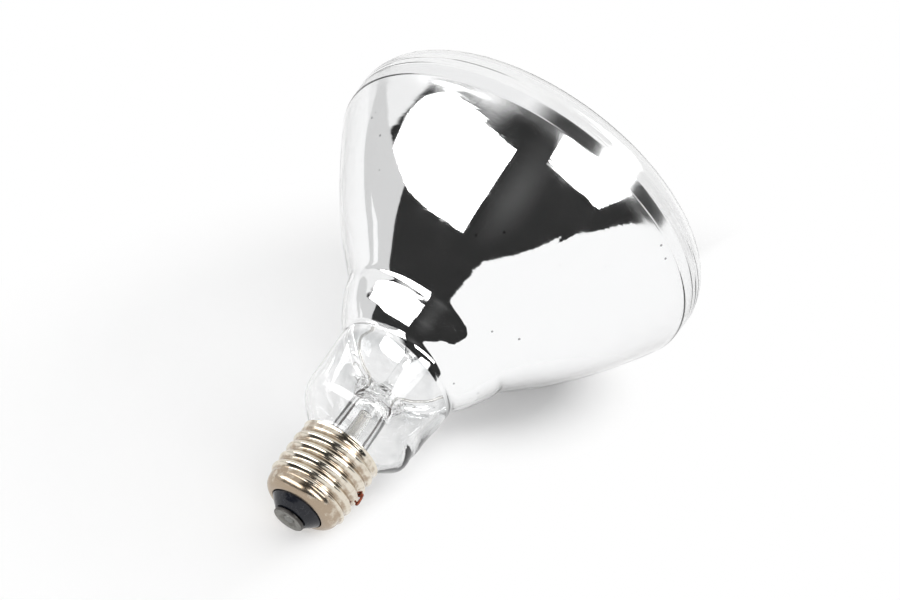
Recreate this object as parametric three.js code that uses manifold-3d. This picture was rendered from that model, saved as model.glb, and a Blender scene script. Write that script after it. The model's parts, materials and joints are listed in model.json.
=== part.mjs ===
// A 125 mm reflector heat bulb on an E27 screw cap, lying on its side.
// Every piece is made about the bulb's own axis, which is +Y here, with height 0 at the tip of the
// cap and the face of the bulb above it. Angles about that axis run from +Z towards +X, and +X is
// the side that lies on the floor. The last lines lay the whole lamp down, with +Z up.
// Lengths are in millimetres and angles in degrees.
import * as THREE from "three";
import { mergeVertices } from "three/addons/utils/BufferGeometryUtils.js";
import Module from "manifold-3d";

const wasm = await Module();
wasm.setup();

// Clearance between pieces that touch
const clearance = 0.3;

// Screw cap, rolled from sheet
const capCrestDiameter = 26.2;
const capRootDiameter = 24.1;
const capCollarDiameter = 25.0;
const capLipDiameter = 25.8;
const capMouthDiameter = 17.0;
const capSheet = 0.3;
const capMouthHeight = 4.5;
const capCurlHeight = 3.6;
const capRimHeight = 26.8;
const capLipHeight = 0.8;
const threadPitch = 3.629;
const threadStart = 7.9;
const threadEnd = 25.6;
const threadRun = 1.9;
const threadPhase = 1.57;

// Centre contact, its eyelet and the insulator that carries it
const contactDiameter = 9.9;
const contactThickness = 1.1;
const contactDishDiameter = 6.0;
const contactDishDepth = 0.9;
const eyeletDiameter = 4.0;
const eyeletBore = 2.6;
const eyeletLength = 5.0;
const solderPlugLength = 3.0;
const insulatorFaceDiameter = 10.6;
const insulatorHeight = 8.4;
const insulatorShoulderHeight = 7.6;

// Blown glass bulb
const glassWall = 1.0;
const neckFootHeight = 11.2;
const neckFootDiameter = 20.8;
const neckFootEnd = 22.5;
const neckMouthDiameter = 23.4;
const neckMouthHeight = 28.0;
const neckDiameter = 40.2;
const neckShoulderHeight = 36.0;
const neckWaistDiameter = 39.2;
const neckWaistHeight = 58.3;
const beadKneeDiameter = 47.4;
const beadKneeHeight = 63.2;
const beadDiameter = 51.4;
const beadHeight = 67.0;
const creaseHeight = 74.7;
const coneTopHeight = 84.0;
const reflectorVertexHeight = 63.5;
const reflectorFocalLength = 17.0;
const reflectorRimDiameter = 124.0;
const bulbDiameter = 125.0;
const skirtLength = 7.0;
const shoulderRadius = 8.0;
const faceRadius = 105.0;

// Mirror film inside the glass
const mirrorThickness = 0.25;
const mirrorStartHeight = 56.6;
const mirrorSkirt = 4.5;

// Glass stem inside the neck
const stemWall = 0.9;
const stemTubeDiameter = 12.8;
const stemFlareDiameter = 20.6;
const stemFlareHeight = 4.8;
const stemPressStart = 34.5;
const stemPressFlat = 38.5;
const stemTopHeight = 47.5;
const stemPressThickness = 4.6;
const stemPressWidth = 15.6;
const stemTurn = 34;
const exhaustDiameter = 4.4;
const exhaustBore = 2.8;
const exhaustTipHeight = 13.5;
const arborDiameter = 3.2;
const buttonDiameter = 5.6;
const buttonHeight = 66.0;

// Wires
const leadDiameter = 0.8;
const sideWireDiameter = 0.6;
const leadSpacing = 9.6;
const leadHoleDiameter = 1.5;
const sealWireLength = 6.0;
const innerLeadDiameter = 0.9;
const filamentDiameter = 1.2;
const filamentRingDiameter = 38.0;
const filamentHeight = 84.0;
const filamentGapAngle = 56;
const supportCount = 5;
const supportDiameter = 0.5;
const sideWireHoleHeight = 18.2;
const sideWireAngle = 27;
const sideWireTail = 2.2;

// Facets
const glassSides = 36;
const capSides = 28;
const threadRowsPerTurn = 6;
const smallSides = 20;
const thinSides = 12;
const wireSides = 5;

const radians = THREE.MathUtils.degToRad;
const onAxis = (height) => new THREE.Vector2(0, height);
const at = (height, radius) => new THREE.Vector2(radius, height);

// A place given by its height on the axis, its radius and its angle about the axis.
function polar(height, radius, angle) {
  return new THREE.Vector3(radius * Math.sin(radians(angle)), height, radius * Math.cos(radians(angle)));
}

// Points along straight stretches whose corners are rounded. A corner is a place, its fillet and
// the number of flats that make the fillet.
function rounded(corners) {
  const line = [];
  corners.forEach(({ place, fillet = 0, flats = 2 }, i) => {
    if (!fillet) {
      line.push(place);
      return;
    }
    const back = corners[i - 1].place.clone().sub(place);
    const on = corners[i + 1].place.clone().sub(place);
    const half = Math.acos(back.clone().normalize().dot(on.clone().normalize())) / 2;
    const reach = Math.min(fillet / Math.tan(half), 0.49 * back.length(), 0.49 * on.length());
    const radius = reach * Math.tan(half);
    const bisector = back.clone().normalize().add(on.clone().normalize()).normalize();
    const centre = place.clone().addScaledVector(bisector, radius / Math.sin(half));
    const first = place.clone().addScaledVector(back.normalize(), reach).sub(centre);
    const last = place.clone().addScaledVector(on.normalize(), reach).sub(centre);
    const sweep = Math.atan2(first.cross(last), first.dot(last));
    for (let k = 0; k <= flats; k++)
      line.push(first.clone().rotateAround(onAxis(0), (sweep * k) / flats).add(centre));
  });
  return line;
}

// The same line moved sideways, towards the axis for a line that climbs.
function offset(line, distance) {
  return line.map((place, i) => {
    const before = line[Math.max(i - 1, 0)];
    const after = line[Math.min(i + 1, line.length - 1)];
    const along = after.clone().sub(before).normalize();
    return new THREE.Vector2(place.x - distance * along.y, place.y + distance * along.x);
  });
}

// A closed outline turned about the axis. Half a side's turn puts a flat facet on the floor side.
function revolve(outline, sides) {
  return new THREE.LatheGeometry(outline, sides, Math.PI / sides);
}

// The outline of a wall between a line and its offset, closed on itself.
function walled(line, thickness) {
  const inside = offset(line, thickness).reverse();
  return [...line, ...inside, line[0].clone()];
}

// A round bar along a smooth path through the given places.
function bar(places, diameter, steps) {
  const section = Array.from({ length: wireSides }, (_, k) => {
    const turn = (2 * Math.PI * k) / wireSides;
    return new THREE.Vector2(Math.cos(turn), Math.sin(turn)).multiplyScalar(diameter / 2);
  });
  return new THREE.ExtrudeGeometry(new THREE.Shape(section), {
    steps,
    bevelEnabled: false,
    extrudePath: new THREE.CatmullRomCurve3(places, false, "centripetal"),
  });
}

function toSolid(geometry) {
  const bare = geometry.clone();
  bare.deleteAttribute("normal");
  bare.deleteAttribute("uv");
  const merged = mergeVertices(bare, 1e-3);
  return new wasm.Manifold(
    new wasm.Mesh({
      numProp: 3,
      vertProperties: merged.attributes.position.array,
      triVerts: new Uint32Array(merged.index.array),
    }),
  );
}

function cutFrom(geometry, ...tools) {
  let solid = toSolid(geometry);
  for (const tool of tools) solid = solid.subtract(toSolid(tool));
  const { vertProperties, triVerts } = solid.getMesh();
  const cut = new THREE.BufferGeometry();
  cut.setAttribute("position", new THREE.BufferAttribute(vertProperties, 3));
  cut.setIndex(new THREE.BufferAttribute(triVerts, 1));
  cut.computeVertexNormals();
  return cut;
}

// Radius of the parabolic reflector at a height.
function reflectorRadius(height) {
  return 2 * Math.sqrt(reflectorFocalLength * (height - reflectorVertexHeight));
}

// Radius of the cone below the reflector, which runs on straight from the parabola.
function coneRadius(height) {
  const slope = Math.sqrt(reflectorFocalLength / (coneTopHeight - reflectorVertexHeight));
  return reflectorRadius(coneTopHeight) - slope * (coneTopHeight - height);
}

// Bulb: neck, waist, bead, crease, cone, parabolic reflector, skirt, shoulder and domed face
function bulbOutline() {
  const reflectorTop =
    reflectorVertexHeight + reflectorRimDiameter ** 2 / (16 * reflectorFocalLength);
  const neck = rounded([
    { place: at(neckFootHeight, neckFootDiameter / 2) },
    { place: at(neckFootEnd, neckFootDiameter / 2), fillet: 4, flats: 1 },
    { place: at(neckMouthHeight, neckMouthDiameter / 2), fillet: 3, flats: 1 },
    { place: at(neckShoulderHeight, neckDiameter / 2), fillet: 12 },
    { place: at(neckWaistHeight, neckWaistDiameter / 2), fillet: 2.5 },
    { place: at(beadKneeHeight, beadKneeDiameter / 2), fillet: 8 },
    { place: at(beadHeight, beadDiameter / 2) },
    { place: at(creaseHeight, coneRadius(creaseHeight)), fillet: 4 },
    { place: at(coneTopHeight, reflectorRadius(coneTopHeight)) },
  ]);
  const reflectorRows = 4;
  const reflector = Array.from({ length: reflectorRows }, (_, k) => {
    const height = THREE.MathUtils.lerp(coneTopHeight, reflectorTop, (k + 1) / reflectorRows);
    return at(height, reflectorRadius(height));
  });
  const rimHeight = reflectorTop + skirtLength;
  const reach = bulbDiameter / 2 - shoulderRadius;
  const faceCentre = rimHeight - Math.sqrt((faceRadius - shoulderRadius) ** 2 - reach ** 2);
  const meeting = Math.atan2(rimHeight - faceCentre, reach);
  const shoulderRows = 4;
  const shoulder = Array.from({ length: shoulderRows }, (_, k) => {
    const turn = (meeting * k) / shoulderRows;
    return at(rimHeight + shoulderRadius * Math.sin(turn), reach + shoulderRadius * Math.cos(turn));
  });
  const faceRows = 5;
  const face = Array.from({ length: faceRows + 1 }, (_, k) => {
    const turn = THREE.MathUtils.lerp(meeting, Math.PI / 2, k / faceRows);
    return at(faceCentre + faceRadius * Math.sin(turn), faceRadius * Math.cos(turn));
  });
  face[faceRows].x = 0;
  return { line: [...neck, ...reflector, ...shoulder, ...face], reflectorTop, rimHeight };
}
const bulb = bulbOutline();

function glassBulb() {
  const inside = offset(bulb.line, glassWall);
  inside[inside.length - 1].x = 0;
  return revolve([...inside.reverse(), ...bulb.line], glassSides);
}

// The place on a climbing line at a height.
function placeOn(line, height) {
  const above = line.findIndex(({ y }) => y > height);
  const from = line[above - 1];
  const to = line[above];
  return from.clone().lerp(to, (height - from.y) / (to.y - from.y));
}

function mirrorCoating() {
  const top = bulb.reflectorTop + mirrorSkirt;
  const between = bulb.line.filter(({ y }) => y > mirrorStartHeight && y < top);
  const backed = [placeOn(bulb.line, mirrorStartHeight), ...between, placeOn(bulb.line, top)];
  return revolve(walled(offset(backed, glassWall + clearance), mirrorThickness), glassSides);
}

// Radius of the screw cap's outside at a height in its thread, collar or lip.
function capRadius(height, angle) {
  const fade = (from, to) => THREE.MathUtils.smoothstep(height, from, to);
  const runIn = fade(threadStart, threadStart + threadRun);
  const runOut = fade(threadEnd - threadRun, threadEnd);
  const crest = threadPhase + (threadPitch * angle) / 360;
  const wave = 0.5 + 0.5 * Math.cos((2 * Math.PI * (height - crest)) / threadPitch);
  const collar = ((capCollarDiameter - capRootDiameter) / 2) * runOut;
  const lip = ((capLipDiameter - capCollarDiameter) / 2) * fade(capRimHeight - capLipHeight, capRimHeight);
  const depth = (capCrestDiameter - capRootDiameter) / 2;
  return capRootDiameter / 2 + depth * runIn * (1 - runOut) * wave + collar + lip;
}

// The cap's outside line at one angle, from its mouth round the curl and up the thread.
function capLine(angle) {
  const curlTop = capMouthHeight + capCurlHeight;
  const curlRows = 5;
  const reach = capRootDiameter / 2 - capMouthDiameter / 2;
  const curl = Array.from({ length: curlRows }, (_, k) => {
    const turn = (Math.PI / 2) * (k / curlRows);
    return at(curlTop - capCurlHeight * Math.cos(turn), capMouthDiameter / 2 + reach * Math.sin(turn));
  });
  const rows = Math.ceil(((capRimHeight - curlTop) / threadPitch) * threadRowsPerTurn);
  const wall = Array.from({ length: rows + 1 }, (_, k) => {
    const height = THREE.MathUtils.lerp(curlTop, capRimHeight, k / rows);
    return at(height, capRadius(height, angle));
  });
  return [...curl, ...wall];
}

// The rolled thread: the sheet's section is worked out at each angle, and the rings are joined.
function screwShell() {
  const rings = Array.from({ length: capSides }, (_, j) => {
    const angle = (360 * (j + 0.5)) / capSides;
    const line = capLine(angle);
    return [...line, ...offset(line, capSheet).reverse()].map(({ x, y }) => polar(y, x, angle));
  });
  const count = rings[0].length;
  const faces = [];
  rings.forEach((_, j) => {
    const next = (j + 1) % capSides;
    for (let k = 0; k < count; k++) {
      const up = (k + 1) % count;
      faces.push(j * count + k, next * count + k, next * count + up);
      faces.push(j * count + k, next * count + up, j * count + up);
    }
  });
  const shell = new THREE.BufferGeometry().setFromPoints(rings.flat());
  shell.setIndex(faces);
  shell.computeVertexNormals();
  return cutFrom(shell, sideWireHole());
}

// The way of the side wire out of the cap, drilled square to the axis through cement and sheet
function sideWireHole() {
  const inner = neckFootDiameter / 2;
  const outer = capCrestDiameter / 2 + clearance;
  const places = [inner, outer].map((radius) => polar(sideWireHoleHeight, radius, sideWireAngle));
  return bar(places, leadHoleDiameter, 1);
}

function basingCement() {
  const inner = neckFootDiameter / 2 + clearance;
  const outer = capRootDiameter / 2 - capSheet - clearance;
  const foot = neckFootHeight + 1;
  const top = neckFootEnd - 1;
  const ring = revolve([at(foot, inner), at(foot, outer), at(top, outer), at(top, inner), at(foot, inner)], smallSides);
  const middle = (inner + outer) / 2;
  const slot = [foot - 1, sideWireHoleHeight + leadHoleDiameter].map((height) =>
    polar(height, middle, sideWireAngle),
  );
  return cutFrom(ring, bar(slot, leadHoleDiameter, 1));
}

// Black glass insulator: it shows as a cone below the mouth of the cap and widens behind the curl
function insulator() {
  const hole = eyeletDiameter / 2 + clearance;
  const face = contactThickness + clearance;
  const mouth = capMouthDiameter / 2 - clearance;
  const inside = capRootDiameter / 2 - capSheet - clearance;
  return revolve(
    [
      ...rounded([
        { place: at(face, hole) },
        { place: at(face, insulatorFaceDiameter / 2), fillet: 0.4 },
        { place: at(capMouthHeight - clearance, mouth) },
        { place: at(capMouthHeight + capSheet + clearance, mouth), fillet: 0.3 },
        { place: at(capMouthHeight + capSheet + 2 * clearance + 0.2, mouth + 1) },
        { place: at(insulatorShoulderHeight, inside - 0.6), fillet: 1 },
        { place: at(insulatorHeight, inside - 0.6) },
        { place: at(insulatorHeight, hole) },
      ]),
      at(face, hole),
    ],
    smallSides,
  );
}

function centreContact() {
  const edge = 0.3;
  return revolve(
    [
      ...rounded([
        { place: at(contactDishDepth, eyeletBore / 2) },
        { place: at(0, contactDishDiameter / 2) },
        { place: at(0, contactDiameter / 2), fillet: edge },
        { place: at(contactThickness, contactDiameter / 2), fillet: edge },
        { place: at(contactThickness, eyeletDiameter / 2) },
        { place: at(contactThickness + eyeletLength, eyeletDiameter / 2) },
        { place: at(contactThickness + eyeletLength, eyeletBore / 2) },
      ]),
      at(contactDishDepth, eyeletBore / 2),
    ],
    smallSides,
  );
}

// Solder that fills the dish of the contact and plugs the eyelet below the centre wire
function contactSolder() {
  const slope = Math.atan2(contactDishDepth, (contactDishDiameter - eyeletBore) / 2);
  const inset = clearance / Math.sin(slope);
  const plug = eyeletBore / 2 - clearance;
  const dishAt = (radius) => contactDishDepth - (radius - eyeletBore / 2) * Math.tan(slope);
  return revolve(
    [
      onAxis(0),
      at(0, contactDishDiameter / 2 - inset),
      at(dishAt(plug) - clearance / Math.cos(slope), plug),
      at(solderPlugLength, plug),
      onAxis(solderPlugLength),
    ],
    thinSides,
  );
}

// Stem: flared foot, tube and the press where the jaws pinched it flat round the wires
function stemFlare() {
  const foot = neckFootHeight - 0.5;
  const tube = stemTubeDiameter / 2;
  const reach = (stemFlareDiameter - stemTubeDiameter) / 2;
  const flareRows = 4;
  const flare = Array.from({ length: flareRows + 1 }, (_, k) => {
    const turn = (Math.PI / 2) * (k / flareRows);
    return at(foot + stemFlareHeight * (1 - Math.cos(turn)), tube + reach * (1 - Math.sin(turn)));
  });
  const pinchRows = 3;
  const pinched = Array.from({ length: pinchRows + 1 }, (_, k) =>
    at(THREE.MathUtils.lerp(stemPressStart, stemPressFlat, k / pinchRows), tube),
  );
  const outside = [...flare, ...pinched];
  const inside = offset(outside, stemWall).reverse();
  const top = rounded([
    { place: at(stemPressFlat, tube) },
    { place: at(stemTopHeight, tube), fillet: 1 },
    { place: onAxis(stemTopHeight) },
  ]).slice(1);
  const cavityTop = onAxis(inside[0].y);
  const stem = revolve([cavityTop, ...inside, ...outside, ...top], smallSides);
  pinch(stem);
  stem.rotateY(radians(stemTurn));
  const holes = [1, -1].map((side) =>
    bar(
      [stemPressFlat - 2, stemTopHeight + 1].map((height) => leadPlace(height, side)),
      leadHoleDiameter,
      1,
    ),
  );
  return cutFrom(stem, ...holes);
}

// How much thinner and wider the jaws have made the stem tube at a height.
function pressedBy(height) {
  const share = THREE.MathUtils.smoothstep(height, stemPressStart, stemPressFlat);
  return {
    thin: THREE.MathUtils.lerp(1, stemPressThickness / stemTubeDiameter, share),
    wide: THREE.MathUtils.lerp(1, stemPressWidth / stemTubeDiameter, share),
  };
}

// Presses a turned tube flat: thin along X and wide along Z.
function pinch(geometry) {
  const place = geometry.attributes.position;
  for (let i = 0; i < place.count; i++) {
    const { thin, wide } = pressedBy(place.getY(i));
    place.setX(i, place.getX(i) * thin);
    place.setZ(i, place.getZ(i) * wide);
  }
}

// A place on one of the two wires where they run straight through the stem.
function leadPlace(height, side) {
  return polar(height, leadSpacing / 2, stemTurn + (side > 0 ? 0 : 180));
}

// Height at which the pinched tube has closed on the exhaust tube
function exhaustTopHeight() {
  const room = stemTubeDiameter / 2 - stemWall;
  const needed = exhaustDiameter / 2 + clearance;
  let low = stemPressStart;
  let high = stemPressFlat;
  for (let round = 0; round < 20; round++) {
    const middle = (low + high) / 2;
    if (room * pressedBy(middle).thin > needed) low = middle;
    else high = middle;
  }
  return low;
}

function exhaustTube() {
  const outer = exhaustDiameter / 2;
  const bore = exhaustBore / 2;
  const top = exhaustTopHeight();
  return revolve(
    [
      onAxis(exhaustTipHeight),
      at(exhaustTipHeight + 0.6, outer * 0.5),
      at(exhaustTipHeight + 2.5, outer),
      at(top, outer),
      at(top, bore),
      at(exhaustTipHeight + 3.5, bore),
      onAxis(exhaustTipHeight + 2),
    ],
    thinSides,
  );
}

// Glass rod on the press, with the button that holds the filament supports
function arborRod() {
  const rod = arborDiameter / 2;
  const button = buttonDiameter / 2;
  const foot = stemTopHeight + clearance;
  return revolve(
    [
      onAxis(foot),
      at(foot, rod),
      at(buttonHeight - button, rod),
      ...Array.from({ length: 4 }, (_, k) => {
        const turn = THREE.MathUtils.lerp(-35, 60, k / 3);
        return at(buttonHeight + button * 0.8 * Math.sin(radians(turn)), button * Math.cos(radians(turn)));
      }),
      onAxis(buttonHeight + button * 0.8),
    ],
    thinSides,
  );
}

const sealMiddle = (stemPressFlat + stemTopHeight) / 2;
const sealTop = sealMiddle + sealWireLength / 2;
const sealFoot = sealMiddle - sealWireLength / 2;

function sealWire(side) {
  return bar([leadPlace(sealFoot, side), leadPlace(sealTop, side)], leadDiameter, 1);
}

// Wire from the press down the stem and on the axis into the eyelet
function centreLead() {
  return bar(
    [
      leadPlace(sealFoot - clearance, -1),
      leadPlace(stemPressStart, -1),
      leadPlace(neckFootHeight + 6, -1),
      polar(neckFootHeight + 0.5, leadSpacing / 2 - 0.6, stemTurn + 180),
      polar(contactThickness + eyeletLength + 1.5, 0.6, stemTurn + 180),
      polar(contactThickness + eyeletLength, 0, 0),
      polar(solderPlugLength + clearance, 0, 0),
    ],
    leadDiameter,
    24,
  );
}

// Wire from the press under the flare, up through the cement and out by the hole in the cap
function sideLead() {
  const under = (insulatorHeight + neckFootHeight - 0.5 - stemWall) / 2;
  const channel = (neckFootDiameter / 2 + capRootDiameter / 2 - capSheet) / 2;
  const groove = capRadius(sideWireHoleHeight, sideWireAngle) + clearance + sideWireDiameter / 2;
  return bar(
    [
      leadPlace(sealFoot - clearance, 1),
      leadPlace(stemPressStart, 1),
      leadPlace(neckFootHeight + 5, 1),
      polar(under + 1.2, leadSpacing / 2 + 0.4, stemTurn),
      polar(under, leadSpacing / 2 + 2, stemTurn),
      polar(under, channel - 1.8, sideWireAngle),
      polar(under + 1, channel - 0.1, sideWireAngle),
      polar(under + 3, channel, sideWireAngle),
      polar(sideWireHoleHeight - 1.6, channel, sideWireAngle),
      polar(sideWireHoleHeight, channel + 0.7, sideWireAngle),
      polar(sideWireHoleHeight, groove, sideWireAngle),
      polar(sideWireHoleHeight + 0.6, groove + 0.5, sideWireAngle),
      polar(sideWireHoleHeight + sideWireTail, groove + 0.9, sideWireAngle),
    ],
    sideWireDiameter,
    36,
  );
}

// Filament: part of a ring about the axis, open towards the floor side
const filamentStart = stemTurn + 90 + filamentGapAngle / 2;
const filamentSpan = 360 - filamentGapAngle;
const ringRadius = filamentRingDiameter / 2;

function filament() {
  const pieces = 24;
  const places = Array.from({ length: pieces + 1 }, (_, k) =>
    polar(filamentHeight, ringRadius, filamentStart + (filamentSpan * k) / pieces),
  );
  return bar(places, filamentDiameter, 32);
}

// Nickel wire from the press out to one end of the filament
function innerLead(side) {
  const from = stemTurn + (side > 0 ? 0 : 180);
  const end = side > 0 ? filamentStart + filamentSpan - 360 : filamentStart;
  const gapTurn = THREE.MathUtils.radToDeg((clearance + innerLeadDiameter) / ringRadius);
  const foot = leadPlace(stemTopHeight + innerLeadDiameter, side);
  const way = (climb, spread, turn) =>
    polar(
      THREE.MathUtils.lerp(stemTopHeight, filamentHeight, climb),
      THREE.MathUtils.lerp(leadSpacing / 2, ringRadius, spread),
      THREE.MathUtils.lerp(from, end + side * gapTurn, turn),
    );
  const leaving = way(0.22, 0.21, 0.05);
  const halfway = way(0.5, 0.58, 0.45);
  const arriving = way(0.83, 0.93, 0.9);
  return bar(
    [leadPlace(sealTop + clearance, side), foot, leaving, halfway, arriving, way(1, 1, 1)],
    innerLeadDiameter,
    18,
  );
}

// Support wire from the button, ending in a loop round the filament
function supportWire(index) {
  const angle = filamentStart + (filamentSpan * (index + 0.5)) / supportCount;
  const loop = filamentDiameter / 2 + clearance + supportDiameter / 2;
  const button = buttonDiameter / 2 + clearance;
  const rise = filamentHeight - buttonHeight;
  const arrive = Math.atan2(rise, ringRadius);
  const loopPieces = 9;
  const loopTurn = 300;
  const coil = Array.from({ length: loopPieces + 1 }, (_, k) => {
    const turn = radians((loopTurn * k) / loopPieces) + arrive - Math.PI / 2;
    return polar(
      filamentHeight + loop * Math.sin(turn),
      ringRadius + loop * Math.cos(turn),
      angle + k * 0.25,
    );
  });
  const startTurn = 0.5;
  const first = polar(buttonHeight + button * 0.8 * Math.sin(startTurn), button * Math.cos(startTurn), angle);
  return bar([first, polar(buttonHeight + rise / 2, ringRadius / 2 + 1, angle), ...coil], supportDiameter, 16);
}

// Materials
const finish = (color, roughness, metalness, extra = {}) =>
  new THREE.MeshStandardMaterial({ color, roughness, metalness, ...extra });
const clearGlass = () => finish(0xe9eef0, 0.05, 0, { transparent: true, opacity: 0.25 });
const stemGlass = () => finish(0xdfe4e4, 0.08, 0, { transparent: true, opacity: 0.45 });
const nickelPlate = () => finish(0xcdbfa6, 0.22, 1);
const copper = () => finish(0x5a4038, 0.45, 1);
const nickelWire = () => finish(0x8c8a86, 0.35, 1);

const pieces = {
  glass_bulb: [glassBulb(), clearGlass()],
  mirror_coating: [mirrorCoating(), finish(0xf4f4f4, 0.03, 1)],
  screw_shell: [screwShell(), nickelPlate()],
  insulator: [insulator(), finish(0x22252b, 0.18, 0)],
  centre_contact: [centreContact(), finish(0x77776f, 0.45, 1)],
  contact_solder: [contactSolder(), finish(0x6f706c, 0.5, 1)],
  basing_cement: [basingCement(), finish(0xb9a98c, 0.9, 0)],
  stem_flare: [stemFlare(), stemGlass()],
  exhaust_tube: [exhaustTube(), stemGlass()],
  arbor_rod: [arborRod(), stemGlass()],
  outer_lead_centre: [centreLead(), copper()],
  outer_lead_side: [sideLead(), copper()],
  seal_wire_1: [sealWire(1), copper()],
  seal_wire_2: [sealWire(-1), copper()],
  inner_lead_1: [innerLead(1), nickelWire()],
  inner_lead_2: [innerLead(-1), nickelWire()],
  filament: [filament(), finish(0x6d6a66, 0.5, 1)],
};
for (let i = 0; i < supportCount; i++)
  pieces["filament_support_" + (i + 1)] = [supportWire(i), nickelWire()];

const upright = new THREE.Group();
for (const [name, [geometry, material]] of Object.entries(pieces)) {
  const mesh = new THREE.Mesh(geometry, material);
  mesh.name = name;
  upright.add(mesh);
}

// The lamp lies on the floor on its rim and on the lowest turn of its thread. Each round moves
// those two feet to the lowest places at the tilt so far.
function restingTilt() {
  const rim = bulb.line.map(({ x, y }) => at(y, x * Math.cos(Math.PI / glassSides)));
  const cap = capLine(90).map(({ x, y }) => at(y, x * Math.cos(Math.PI / capSides)));
  let tilt = 0.4;
  const floorHeight = ({ x, y }) => y * Math.sin(tilt) - x * Math.cos(tilt);
  const lowest = (line) => line.reduce((a, b) => (floorHeight(b) < floorHeight(a) ? b : a));
  for (let round = 0; round < 8; round++) {
    const front = lowest(rim);
    const back = lowest(cap);
    tilt = Math.atan2(front.x - back.x, front.y - back.y);
  }
  return tilt;
}

upright.rotation.x = Math.PI / 2;
const lying = new THREE.Group();
lying.add(upright);
lying.rotation.y = Math.PI / 2 - restingTilt();

const lamp = new THREE.Group();
lamp.add(lying);
const box = new THREE.Box3().setFromObject(lamp, true);
lamp.position.set(-(box.min.x + box.max.x) / 2, 0, -box.min.z);

export default lamp;
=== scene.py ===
import json
import math

import bpy
from bpy.props import FloatProperty, FloatVectorProperty, IntProperty, PointerProperty
from mathutils import Matrix, Vector, noise
from mathutils.kdtree import KDTree


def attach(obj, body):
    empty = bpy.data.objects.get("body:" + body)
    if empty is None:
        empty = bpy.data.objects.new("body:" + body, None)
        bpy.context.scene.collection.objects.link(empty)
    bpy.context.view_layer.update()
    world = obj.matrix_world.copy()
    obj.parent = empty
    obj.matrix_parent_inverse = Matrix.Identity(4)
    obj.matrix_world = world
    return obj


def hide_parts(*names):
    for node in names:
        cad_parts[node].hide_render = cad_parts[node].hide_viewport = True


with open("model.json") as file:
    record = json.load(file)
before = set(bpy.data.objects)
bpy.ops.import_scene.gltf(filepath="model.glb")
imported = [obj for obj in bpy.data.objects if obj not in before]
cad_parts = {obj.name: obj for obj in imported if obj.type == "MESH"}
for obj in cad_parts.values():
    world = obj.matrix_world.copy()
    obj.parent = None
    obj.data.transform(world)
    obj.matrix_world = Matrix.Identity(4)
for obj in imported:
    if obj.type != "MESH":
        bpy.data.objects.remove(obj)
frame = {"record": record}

bl_info = {
    "name": "Reflector lamp bulb",
    "version": (1, 0, 0),
    "blender": (4, 5, 0),
    "location": "View3D > Sidebar > Reflector bulb",
    "description": "Builds a mirrored reflector bulb with a screw cap, piece by piece",
    "category": "Add Mesh",
}

# Lengths below are in millimetres, measured from the contact's face along the bulb's axis
MM = 0.001
SCREW_CAP = next(m for m in frame["record"]["mounts"] if m["name"] == "screw_cap")
TIP = Vector(SCREW_CAP["pos_m"])
AXIS = -Vector(SCREW_CAP["axis"]).normalized()
TILT = math.atan2(AXIS.x, AXIS.z)
LAY = Matrix.Translation(TIP) @ Matrix.Rotation(TILT, 4, "Y")

# The CAD solids are turned with flat sides, and a round surface stays inside them by these shares
GLASS_FIT = math.cos(math.pi / 36)
CAP_FIT = math.cos(math.pi / 28)
SMALL_FIT = math.cos(math.pi / 20)

# Points closer than this, in metres, are merged
SEAM = 1e-6

# Edges sharper than this are shaded as corners
SMOOTH_ANGLE = math.radians(38)

# Sides of the turned pieces, for the bulb and for the small ones
ROUND_SIDES = 144
SMALL_SIDES = 96

# Reflector bowl: a parabola about the axis, with a straight cone below it
BOWL_VERTEX = 63.5
BOWL_FOCAL_LENGTH = 17.0
BOWL_RIM_RADIUS = 62.0
BOWL_TOP = BOWL_VERTEX + BOWL_RIM_RADIUS ** 2 / (4 * BOWL_FOCAL_LENGTH)
RIM_ROUNDNESS = 1.6
SKIRT_LENGTH = 7.0
CONE_TOP = 84.0

# Neck, from its foot in the cap over its shoulder to the waist below the bead
NECK_FOOT = 11.2
NECK_FOOT_RADIUS = 10.4
NECK_FLARE = 22.5
SHOULDER_START = 28.0
SHOULDER_START_RADIUS = 11.7
SHOULDER_END = 36.0
SHOULDER_ROUNDNESS = 12.0
WAIST_HEIGHT = 57.65

# How fast the bead widens, by height above the waist, as fitted to the photo's outline
BEAD_SLOPES = [
    (0.0, 0.0), (3.1, 0.842), (5.8, 0.726), (8.0, 0.553),
    (9.7, 0.532), (11.9, 0.515), (15.2, 0.263), (27.2, 0.3),
]
BEAD_STEP = 0.25

# The neck and its bead stand a little aside of the bowl, towards this turn about the axis
ASIDE_TURN = 136.0

# At this turn the neck's wall is thickest, its side is drawn in and its glass carries a painted shade
LOW_TURN = 40.0

# The film's lower edge sags towards this turn, over this many rows of its outline
SAG_TURN = 52.0
SAG_ROWS = 12

# The solid's edge and face have flats too, and their rise stays inside it by this share
FACE_FIT = 0.975

# Screw cap: its mouth, curled foot, thread and lip
MOUTH_HEIGHT = 4.5
CURL_HEIGHT = 3.6
RIM_HEIGHT = 26.8
MOUTH_RADIUS = 8.5
THREAD_START = 7.9
THREAD_END = 25.6
THREAD_RUN = 1.9
THREAD_PHASE = 1.57
LIP_HEIGHT = 0.8

# Stem, exhaust tube and button
STEM_FOOT = 10.7
FLARE_HEIGHT = 4.8
PRESS_START = 42.0
PRESS_FLAT = 46.5
STEM_TOP = 50.2
STEM_TURN = 34.0
EXHAUST_TIP = 13.5
EXHAUST_TOP = 40.5
BUTTON_HEIGHT = 66.0

# Filament ring
RING_HEIGHT = 84.0
RING_START = 152.0
RING_SPAN = 304.0
SUPPORT_COUNT = 5

# Side wire, which climbs between the cement and the shell and comes out by a hole in the thread
WIRE_TURN = 27.0
WIRE_CHANNEL_RADIUS = 11.05
WIRE_HOLE_HEIGHT = 18.2
WIRE_HOLE_RADIUS = 0.75
DRILL_LENGTH = 6.0


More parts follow.
